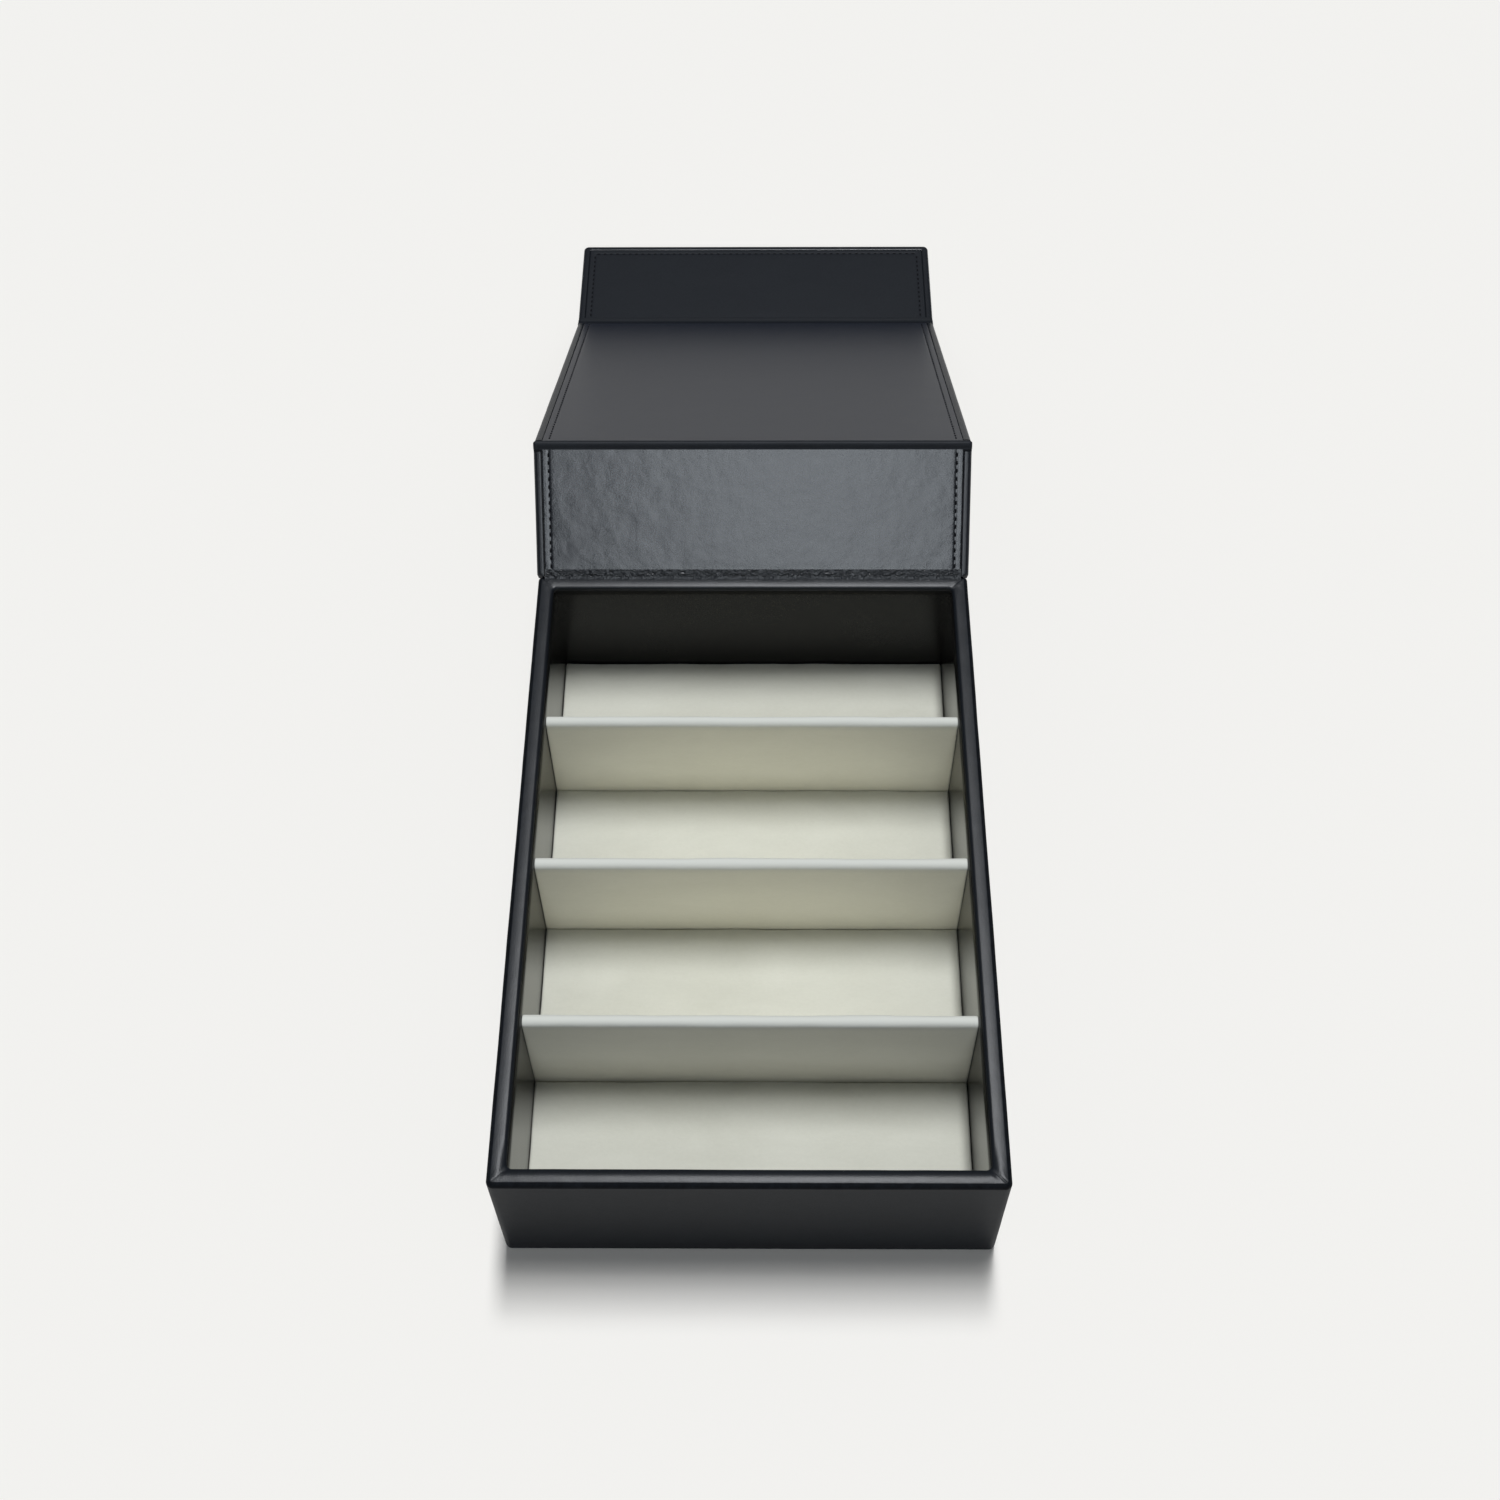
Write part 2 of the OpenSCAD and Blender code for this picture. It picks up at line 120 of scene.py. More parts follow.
world = bpy.data.worlds.new("studio")
scene.world = world
world.use_nodes = True
wn = world.node_tree
wn.nodes.clear()
w_out = wn.nodes.new("ShaderNodeOutputWorld")
w_mix = wn.nodes.new("ShaderNodeMixShader")
w_path = wn.nodes.new("ShaderNodeLightPath")
w_dim = wn.nodes.new("ShaderNodeBackground")
w_pale = wn.nodes.new("ShaderNodeBackground")
w_dim.inputs["Color"].default_value = (0.97, 0.98, 1.02, 1)
w_dim.inputs["Strength"].default_value = AMBIENT
w_pale.inputs["Color"].default_value = (0.885, 0.887, 0.871, 1)
w_pale.inputs["Strength"].default_value = 1.0
wn.links.new(w_path.outputs["Is Camera Ray"], w_mix.inputs["Fac"])
wn.links.new(w_dim.outputs[0], w_mix.inputs[1])
wn.links.new(w_pale.outputs[0], w_mix.inputs[2])
wn.links.new(w_mix.outputs[0], w_out.inputs["Surface"])


# ------------------------------------------------------------------ node helpers
class Tree:
    """A short way to write a material's nodes."""

    def __init__(self, name):
        self.mat = bpy.data.materials.new(name)
        self.mat.use_nodes = True
        self.t = self.mat.node_tree
        self.t.nodes.clear()
        self.out = self.add("ShaderNodeOutputMaterial")
        self.bsdf = self.add("ShaderNodeBsdfPrincipled")
        self.link(self.bsdf.outputs[0], self.out.inputs["Surface"])
        self.co = self.add("ShaderNodeTexCoord").outputs["Object"]

    def add(self, kind, **values):
        n = self.t.nodes.new(kind)
        for k, v in values.items():
            setattr(n, k, v)
        return n

    def link(self, a, b):
        self.t.links.new(a, b)

    def put(self, socket, v):
        if isinstance(v, bpy.types.NodeSocket):
            self.link(v, socket)
        else:
            socket.default_value = v

    def scaled(self, sx, sy, sz, rot=(0, 0, 0)):
        n = self.add("ShaderNodeMapping")
        n.inputs["Scale"].default_value = (sx, sy, sz)
        n.inputs["Rotation"].default_value = rot
        self.link(self.co, n.inputs["Vector"])
        return n.outputs["Vector"]

    def noise(self, size, detail=2.0, rough=0.5, co=None, distortion=0.0):
        """Noise with features of about size metres."""
        n = self.add("ShaderNodeTexNoise")
        n.inputs["Scale"].default_value = 1.0 / size
        n.inputs["Detail"].default_value = detail
        n.inputs["Roughness"].default_value = rough
        n.inputs["Distortion"].default_value = distortion
        self.link(co or self.co, n.inputs["Vector"])
        return n.outputs["Fac"]

    def cells(self, size, co=None, feature="F1", out="Distance", rand=1.0):
        n = self.add("ShaderNodeTexVoronoi", feature=feature)
        n.inputs["Scale"].default_value = 1.0 / size
        n.inputs["Randomness"].default_value = rand
        self.link(co or self.co, n.inputs["Vector"])
        return n.outputs[out]

    def math(self, op, a, b=0.0, c=0.0, clamp=False):
        n = self.add("ShaderNodeMath", operation=op)
        n.use_clamp = clamp
        self.put(n.inputs[0], a)
        self.put(n.inputs[1], b)
        if op in ("MULTIPLY_ADD",):
            self.put(n.inputs[2], c)
        return n.outputs[0]

    def ramp(self, v, lo, hi, to_lo=0.0, to_hi=1.0):
        n = self.add("ShaderNodeMapRange")
        n.clamp = True
        self.put(n.inputs["Value"], v)
        n.inputs["From Min"].default_value = lo
        n.inputs["From Max"].default_value = hi
        n.inputs["To Min"].default_value = to_lo
        n.inputs["To Max"].default_value = to_hi
        return n.outputs["Result"]

    def mix(self, f, a, b, blend="MIX"):
        n = self.add("ShaderNodeMix", data_type="RGBA", blend_type=blend)
        self.put(n.inputs["Factor"], f)
        self.put(n.inputs["A"], a)
        self.put(n.inputs["B"], b)
        for i in n.inputs:
            if i.type == "RGBA" and i.name == "A":
                self.put(i, a)
            if i.type == "RGBA" and i.name == "B":
                self.put(i, b)
        return [o for o in n.outputs if o.type == "RGBA"][0]

    def attr(self, name):
        n = self.add("ShaderNodeAttribute")
        n.attribute_name = name
        return n.outputs["Fac"]

    def bump(self, height, strength, distance, normal=None):
        n = self.add("ShaderNodeBump")
        n.inputs["Strength"].default_value = strength
        n.inputs["Distance"].default_value = distance
        self.link(height, n.inputs["Height"])
        if normal is not None:
            self.link(normal, n.inputs["Normal"])
        return n.outputs["Normal"]


def rgb(r, g, b):
    return (r, g, b, 1.0)


def leather(name, dark, light, rough, spec, grain=0.00055, depth=0.00005, wear=0.0, crease=0.0, sheen=0.0, wavy=0.12, strength=0.85, vary=0.02, coat=True):
    """Pebbled leather: rounded cells, fine pores, low creases, worn edges where the mesh carries an edge value."""
    t = Tree(name)
    warp = t.add("ShaderNodeTexNoise")
    warp.inputs["Scale"].default_value = 1 / 0.004
    warp.inputs["Detail"].default_value = 2
    t.link(t.co, warp.inputs["Vector"])
    off = t.add("ShaderNodeVectorMath", operation="SCALE")
    t.link(warp.outputs["Color"], off.inputs[0])
    off.inputs["Scale"].default_value = 0.0012
    co = t.add("ShaderNodeVectorMath", operation="ADD")
    t.link(t.co, co.inputs[0])
    t.link(off.outputs[0], co.inputs[1])
    co = co.outputs[0]
    big = t.cells(grain, co)
    small = t.cells(grain * 0.47, co)
    pore = t.noise(grain * 0.3, 3, 0.6)
    h = t.math("MULTIPLY_ADD", big, -0.7, 0.0)
    h = t.math("MULTIPLY_ADD", small, -0.45, h)
    h = t.math("MULTIPLY_ADD", pore, 0.35, h)
    patch = t.noise(0.022, 1.0, 0.4)
    cloud = t.noise(0.06, 1.0, 0.4)
    if crease:
        fold = t.noise(0.0022, 3, 0.6, t.scaled(0.22, 1, 1), 0.3)
        h = t.math("MULTIPLY_ADD", fold, crease, h)
    normal = t.bump(h, strength, depth)
    wave = t.noise(0.009, 2, 0.5)
    normal = t.bump(wave, wavy, 0.0006, normal)
    t.link(normal, t.bsdf.inputs["Normal"])
    tone = t.math("MULTIPLY_ADD", patch, 0.6, t.math("MULTIPLY", cloud, 0.4))
    col = t.mix(t.ramp(tone, 0.35, 0.65), dark, light)
    # painted shade: the bottoms of the grain are a little darker than its tops
    col = t.mix(t.ramp(big, 0.25, 0.75, 0.0, 0.45), col, rgb(dark[0] * 0.5, dark[1] * 0.5, dark[2] * 0.5))
    base_rough = 0.66 if coat else rough
    r = t.ramp(tone, 0.25, 0.75, base_rough - vary, base_rough + vary)
    if wear:
        e = t.math("MULTIPLY", t.attr("edge"), t.ramp(t.noise(0.0035, 4, 0.6), 0.42, 0.75))
        col = t.mix(t.math("MULTIPLY", e, wear), col, rgb(light[0] * 2.6, light[1] * 2.6, light[2] * 2.6))
        r = t.math("MULTIPLY_ADD", e, -0.08, r)
    t.link(col, t.bsdf.inputs["Base Color"])
    t.link(r, t.bsdf.inputs["Roughness"])
    # the dyed body of the leather is matte; its thin finish covers part of it and carries the shine
    if coat:
        t.link(normal, t.bsdf.inputs["Coat Normal"])
        t.bsdf.inputs["Specular IOR Level"].default_value = 0.03
        t.bsdf.inputs["Coat Weight"].default_value = spec
        t.bsdf.inputs["Coat IOR"].default_value = 2.0
        t.bsdf.inputs["Coat Roughness"].default_value = rough
    else:
        t.bsdf.inputs["Specular IOR Level"].default_value = spec
    if sheen:
        t.bsdf.inputs["Sheen Weight"].default_value = sheen
        t.bsdf.inputs["Sheen Roughness"].default_value = 0.45
    return t.mat


def suede(name, dark, light, depth=0.00012, sheen=0.25, crown=None):
    """Short brushed nap: fine fibre noise, soft lighter and darker strokes."""
    t = Tree(name)
    fibre = t.noise(0.00032, 3, 0.7)
    nap = t.noise(0.0011, 3, 0.65, t.scaled(0.6, 1.0, 1.0), 0.4)
    stroke = t.noise(0.017, 3, 0.55, t.scaled(0.45, 1.0, 1.0), 0.6)
    cloud = t.noise(0.05, 2, 0.5)
    h = t.math("MULTIPLY_ADD", nap, 0.8, t.math("MULTIPLY", fibre, 0.6))
    t.link(t.bump(h, 0.5, depth), t.bsdf.inputs["Normal"])
    tone = t.math("MULTIPLY_ADD", stroke, 0.45, t.math("MULTIPLY_ADD", nap, 0.25, t.math("MULTIPLY", cloud, 0.3)))
    col = t.mix(t.ramp(tone, 0.36, 0.64), dark, light)
    # on the dividers, crown is the top band's plain suede tone, where the rest carries painted bounce light
    if crown:
        col = t.mix(t.attr("edge"), col, crown)
    t.link(col, t.bsdf.inputs["Base Color"])
    t.link(t.ramp(fibre, 0.3, 0.7, 0.82, 0.96), t.bsdf.inputs["Roughness"])
    t.bsdf.inputs["Specular IOR Level"].default_value = 0.2
    t.bsdf.inputs["Sheen Weight"].default_value = sheen
    t.bsdf.inputs["Sheen Roughness"].default_value = 0.6
    t.bsdf.inputs["Sheen Tint"].default_value = (1.0, 0.98, 0.93, 1.0)
    return t.mat


def board_material(name, dark, light, fibres=(1, 1, 1), rough=0.8):
    t = Tree(name)
    co = t.scaled(*fibres)
    a = t.noise(0.0016, 5, 0.65, co)
    b = t.noise(0.012, 3, 0.5, co)
    speck = t.cells(0.0022, co)
    v = t.math("MULTIPLY_ADD", a, 0.7, t.math("MULTIPLY", b, 0.3))
    col = t.mix(t.ramp(v, 0.35, 0.65), dark, light)
    col = t.mix(t.ramp(speck, 0.0, 0.12, 0.35, 0.0), col, rgb(dark[0] * 0.5, dark[1] * 0.5, dark[2] * 0.5))
    t.link(col, t.bsdf.inputs["Base Color"])
    t.link(t.ramp(a, 0.3, 0.7, rough - 0.08, rough + 0.08), t.bsdf.inputs["Roughness"])
    t.link(t.bump(a, 0.4, 0.0001), t.bsdf.inputs["Normal"])
    return t.mat


def foam_material(name):
    t = Tree(name)
    c = t.cells(0.0009)
    c2 = t.cells(0.0004)
    h = t.math("MULTIPLY_ADD", c, 0.7, t.math("MULTIPLY", c2, 0.3))
    t.link(t.mix(t.ramp(h, 0.15, 0.6), rgb(0.55, 0.50, 0.36), rgb(0.80, 0.76, 0.62)), t.bsdf.inputs["Base Color"])
    t.link(t.ramp(h, 0.1, 0.7, 0.8, 0.95), t.bsdf.inputs["Roughness"])
    t.link(t.bump(h, 0.6, 0.0002), t.bsdf.inputs["Normal"])
    return t.mat


def magnet_material(name):
    t = Tree(name)
    a = t.noise(0.0006, 3, 0.6, t.scaled(1, 0.1, 1))
    spot = t.noise(0.003, 3, 0.6)
    t.link(t.mix(t.ramp(spot, 0.4, 0.7), rgb(0.52, 0.52, 0.54), rgb(0.62, 0.62, 0.63)), t.bsdf.inputs["Base Color"])
    t.bsdf.inputs["Metallic"].default_value = 1.0
    t.link(t.ramp(a, 0.3, 0.7, 0.22, 0.36), t.bsdf.inputs["Roughness"])
    t.link(t.bump(a, 0.2, 0.00002), t.bsdf.inputs["Normal"])
    return t.mat


def thread_material(name):
    t = Tree(name)
    w = t.add("ShaderNodeTexWave", wave_type="BANDS", bands_direction="DIAGONAL")
    w.inputs["Scale"].default_value = 1500
    w.inputs["Distortion"].default_value = 0.6
    t.link(t.co, w.inputs["Vector"])
    f = t.noise(0.0002, 2, 0.6)
    h = t.math("MULTIPLY_ADD", w.outputs["Fac"], 0.7, t.math("MULTIPLY", f, 0.3))
    t.link(t.mix(h, rgb(0.003, 0.003, 0.004), rgb(0.008, 0.0085, 0.011)), t.bsdf.inputs["Base Color"])
    t.link(t.ramp(f, 0.3, 0.7, 0.55, 0.75), t.bsdf.inputs["Roughness"])
    t.link(t.bump(h, 0.7, 0.00006), t.bsdf.inputs["Normal"])
    t.bsdf.inputs["Specular IOR Level"].default_value = 0.08
    return t.mat


M_LEATHER = leather("black_leather", rgb(0.0088, 0.0108, 0.0140), rgb(0.0108, 0.0132, 0.0172), 0.33, 0.158, grain=0.00062, depth=0.000026, wear=0.4)
# darker, matt copy of the tray leather for the outer roll: its darker colour is painted shade
M_EDGE_PAINTED_SHADE = leather("black_leather_edge_painted_shade", rgb(0.0050, 0.0062, 0.0082), rgb(0.0062, 0.0076, 0.0100), 0.45, 0.02, grain=0.00055, depth=0.00002, wear=0.4)
M_LIDSKIN = leather("lid_leather", rgb(0.0100, 0.0122, 0.0162), rgb(0.0120, 0.0146, 0.0192), 0.26, 0.30, depth=0.00002, wear=0.3)
# the lid's lining is one leather in three copies, each with its own tone and gloss: the rear panel's glossiest, the
# main panel's bluer, the flap's darkest and dullest; painted light and shade for how each panel catches the light
M_REARLIN = leather("rear_panel_leather", rgb(0.0110, 0.0137, 0.0182), rgb(0.0124, 0.0153, 0.0203), 0.225, 0.42, grain=0.0007, depth=0.000020, wavy=0.30)
M_LIDLIN = leather("lid_lining_leather", rgb(0.0105, 0.0137, 0.0226), rgb(0.0113, 0.0146, 0.0238), 0.32, 0.405, grain=0.00045, depth=0.000012, wavy=0.05)
M_FLAPLIN = leather("flap_lining_leather", rgb(0.0098, 0.0122, 0.0165), rgb(0.0106, 0.0132, 0.0177), 0.38, 0.12, grain=0.0005, depth=0.000018, wavy=0.08)
M_HINGE = leather("hinge_leather", rgb(0.0132, 0.0160, 0.0209), rgb(0.0167, 0.0202, 0.0264), 0.55, 0.12, grain=0.0006, depth=0.00004)
M_FOLD = leather("fold_leather", rgb(0.0092, 0.0114, 0.0152), rgb(0.0104, 0.0128, 0.0170), 0.58, 0.08, grain=0.0006, depth=0.00003)
M_CREASED = leather("creased_leather", rgb(0.0080, 0.0098, 0.0128), rgb(0.0100, 0.0122, 0.0160), 0.30, 0.33, grain=0.0006, depth=0.00003)
M_WALL = leather("wall_lining", rgb(0.0088, 0.0088, 0.0086), rgb(0.0108, 0.0108, 0.0105), 0.19, 0.17, grain=0.0006, depth=0.000004, wavy=0.03, strength=0.4, vary=0.01, coat=False)
M_SUEDE = suede("cream_suede", rgb(0.640, 0.637, 0.550), rgb(0.708, 0.706, 0.618))
# the dividers' suede is painted lighter and warmer than the pads': painted bounce light on the faces; the crown colour
# gives the rounded top a plain suede tone near the pads'
M_DIVIDER_PAINTED_BOUNCE = suede("divider_suede", rgb(0.84, 0.812, 0.672), rgb(0.90, 0.872, 0.732), sheen=0.35, crown=rgb(0.69, 0.70, 0.645))
M_BOTTOM = suede("bottom_sheet", rgb(0.018, 0.018, 0.020), rgb(0.030, 0.030, 0.033), 0.0001, 0.1)
M_BOARD = board_material("wall_board", rgb(0.30, 0.21, 0.12), rgb(0.45, 0.34, 0.21), (1, 1, 0.6))
M_CARD = board_material("grey_card", rgb(0.20, 0.19, 0.17), rgb(0.33, 0.32, 0.29))
M_FOAM = foam_material("pad_foam")
M_MAGNET = magnet_material("magnet")
M_THREAD = thread_material("thread")

# ------------------------------------------------------------------ floor
t = Tree("studio_floor")
f1 = t.noise(0.9, 2, 0.5)
f2 = t.noise(0.0007, 2, 0.5)
t.link(t.mix(f1, rgb(0.956, 0.925, 0.872), rgb(0.960, 0.929, 0.876)), t.bsdf.inputs["Base Color"])
t.link(t.ramp(f2, 0.3, 0.7, 0.88, 0.96), t.bsdf.inputs["Roughness"])
t.bsdf.inputs["Specular IOR Level"].default_value = 0.1
me = bpy.data.meshes.new("floor")
F = 30.0
me.from_pydata([(-F, -F, 0), (F, -F, 0), (F, F, 0), (-F, F, 0)], [], [(0, 1, 2, 3)])
me.materials.append(t.mat)
floor = bpy.data.objects.new("floor", me)
scene.collection.objects.link(floor)

# ------------------------------------------------------------------ mesh helpers
_lattice = {}


def noise(p, size, seed=0):
    """Smooth noise from -1 to 1 at points p, in mm, with features of about size mm."""
    if seed not in _lattice:
        _lattice[seed] = np.random.RandomState(1234 + seed).rand(32, 32, 32) * 2 - 1
    L = _lattice[seed]
    q = np.asarray(p, float) / size + 57.31
    i = np.floor(q).astype(int)
    f = q - i
    f = f * f * (3 - 2 * f)
    i0 = i % 32
    i1 = (i + 1) % 32
    x0, y0, z0 = i0[..., 0], i0[..., 1], i0[..., 2]
    x1, y1, z1 = i1[..., 0], i1[..., 1], i1[..., 2]
    fx, fy, fz = f[..., 0], f[..., 1], f[..., 2]
    a = L[x0, y0, z0] * (1 - fx) + L[x1, y0, z0] * fx
    b = L[x0, y1, z0] * (1 - fx) + L[x1, y1, z0] * fx
    c = L[x0, y0, z1] * (1 - fx) + L[x1, y0, z1] * fx
    d = L[x0, y1, z1] * (1 - fx) + L[x1, y1, z1] * fx
    return (a * (1 - fy) + b * fy) * (1 - fz) + (c * (1 - fy) + d * fy) * fz


def smooth(t):
    t = np.clip(t, 0, 1)
    return t * t * (3 - 2 * t)


def quads(nu, nv, close_u=False, close_v=False):
    iu = np.arange(nu if close_u else nu - 1)
    iv = np.arange(nv if close_v else nv - 1)
    U, V = np.meshgrid(iu, iv, indexing="ij")
    U2, V2 = (U + 1) % nu, (V + 1) % nv
    return np.stack([U * nv + V, U2 * nv + V, U2 * nv + V2, U * nv + V2], -1).reshape(-1, 4)


def make(name, verts, faces, mat, body, replaces=(), edge=None, weld=0.0, keep=False, outward=True):
    """A mesh piece from points in mm. It rides on a body and stands for the CAD nodes it replaces."""
    me = bpy.data.meshes.new(name)
    me.from_pydata((np.asarray(verts, float) * MM).tolist(), [], [tuple(int(i) for i in f) for f in faces])
    if edge is not None:
        a = me.attributes.new("edge", "FLOAT", "POINT")
        a.data.foreach_set("value", np.asarray(edge, np.float32))
    me.materials.append(mat)
    bm = bmesh.new()
    bm.from_mesh(me)
    if weld:
        bmesh.ops.remove_doubles(bm, verts=bm.verts, dist=weld * MM)
    if outward:
        bmesh.ops.recalc_face_normals(bm, faces=bm.faces)
        if bm.calc_volume(signed=True) < 0:
            bmesh.ops.reverse_faces(bm, faces=bm.faces)
    for f in bm.faces:
        f.smooth = True
    bm.to_mesh(me)
    bm.free()
    me.update()
    ob = bpy.data.objects.new(name, me)
    scene.collection.objects.link(ob)
    if not keep:
        settle(ob, body, replaces)
    return ob


def settle(ob, body, replaces):
    if body:
        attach(ob, body)
    if replaces:
        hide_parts(*replaces)


def sharp(ob, degrees=35):
    """Keeps real creases crisp while the rest shades smooth."""
    bm = bmesh.new()
    bm.from_mesh(ob.data)
    lim = math.radians(degrees)
    for e in bm.edges:
        if len(e.link_faces) == 2 and e.calc_face_angle(0) > lim:
            e.smooth = False
    bm.to_mesh(ob.data)
    bm.free()


def arc(cx, cy, r, a0, a1, n, first=True):
    """Points on an arc, angles in degrees."""
    k = np.linspace(math.radians(a0), math.radians(a1), n + 1)
    if not first:
        k = k[1:]
    return [(cx + r * math.cos(a), cy + r * math.sin(a)) for a in k]


def line(a, b, n, first=False, last=True):
    k = np.linspace(0, 1, n + 1)
    if not first:
        k = k[1:]
    if not last:
        k = k[:-1]
    return [(a[0] + (b[0] - a[0]) * t, a[1] + (b[1] - a[1]) * t) for t in k]


# ------------------------------------------------------------------ sizes, in mm
HW, HL, H = 90.0, 134.0, 64.0
R_OUT, R_IN = 2.6, 1.8
RIM = 6.7
CX, CY = 82.5, 126.5
BASE = 4.6
DIV_Y = (-69.5, -3.5, 62.5)
PADS = ((-126.1, -72.4), (-66.6, -6.4), (-0.6, 59.6), (65.4, 126.1))
PAD_X, PAD_Z1 = 82.1, 12.6
LX = 90.5
Z_IN, Z_LIN, Z_BRD, Z_OUT = -0.5, -1.3, -3.8, -4.8
LIP = 3.3
TILT = 48.0
P0 = np.array([130.5, 64.0])
P1 = np.array([169.309575, 107.102400])
P2 = np.array([349.262955, 4.8])
SLOPE = 29.617966
REAR_LEN, MAIN_LEN, FLAP_LEN = 58.0, 207.0, 57.0
PITCH_ST, STITCH, ROW = 3.3, 2.4, 84.3


def placed(local, p, degrees):
    """Panel points (x, along, up) into the row frame, in mm."""
    local = np.asarray(local, float)
    a = math.radians(degrees)
    c, s = math.cos(a), math.sin(a)
    out = np.empty_like(local)
    out[..., 0] = local[..., 0]
    out[..., 1] = p[0] + local[..., 1] * c - local[..., 2] * s
    out[..., 2] = p[1] + local[..., 1] * s + local[..., 2] * c
    return out


# ------------------------------------------------------------------ tray leather
def spaced(length, fine=0.45, zone=7.0, coarse=2.6):
    """Places from 0 to length, close together near both ends."""
    s, step = [0.0], fine
    while s[-1] < length / 2:
        if s[-1] > zone:
            step = min(step * 1.35, coarse)
        s.append(s[-1] + step)
    s = np.array(s) * (length / 2 / s[-1])
    return np.concatenate([s, length - s[-2::-1]]) / length


def ring(hx, hy, r, sx, sy, n_arc):
    """Rounded rectangle, anticlockwise from the right end of the front side."""
    pts = []
    corner = [(hx - r, -(hy - r), -90), (hx - r, hy - r, 0), (-(hx - r), hy - r, 90), (-(hx - r), -(hy - r), 180)]
    sides = [sx, sy, sx, sy]
    start = [(-(hx - r), -hy), (hx, -(hy - r)), (hx - r, hy), (-hx, hy - r)]
    end = [(hx - r, -hy), (hx, hy - r), (-(hx - r), hy), (-hx, -(hy - r))]
    for k in range(4):
        s = sides[k][:-1]
        pts += [(start[k][0] + (end[k][0] - start[k][0]) * v, start[k][1] + (end[k][1] - start[k][1]) * v) for v in s]
        cx, cy, a0 = corner[k]
        for j in range(n_arc):
            a = math.radians(a0 + 90.0 * j / n_arc)
            pts.append((cx + r * math.cos(a), cy + r * math.sin(a)))
    return pts


def rim_top(roll, k0, crown_out, crown_in, k1):
    """The rim seen end on: an outer roll, a shallow crown and an inner roll that run into one another."""
    c, sn = math.cos, math.sin
    k0, k1 = math.radians(k0), math.radians(k1)
    u0 = roll * (1 - sn(k0))
    top = u0 + crown_out * sn(k0)
    drop = crown_out * (1 - c(k0))
    pts = []
    for k in np.linspace(math.pi / 2, k0, 15):
        pts.append((roll * (1 - sn(k)), H - drop - roll * (c(k0) - c(k)), max(0.5 + roll * sn(k), 0.7), 1.0))
    for k in np.linspace(k0, 0, 6)[1:]:
        pts.append((top - crown_out * sn(k), H - crown_out * (1 - c(k)), 0.75, 1.0))
    u1 = top + crown_in * sn(k1)
    z1 = H - crown_in * (1 - c(k1))
    last = (RIM - u1) / (1 - sn(k1))
    for k in np.linspace(0, k1, 10)[1:]:
        u = top + crown_in * sn(k)
        pts.append((u, H - crown_in * (1 - c(k)), 0.75 + 1.4 * ((u - top) / (RIM - top)) ** 2, 1.0))
    for k in np.linspace(k1, math.pi / 2, 9)[1:]:
        u = u1 + last * (sn(k) - sn(k1))
        pts.append((u, z1 - last * (c(k1) - c(k)), 0.75 + 1.4 * ((u - top) / (RIM - top)) ** 2, 1.0))
    return pts


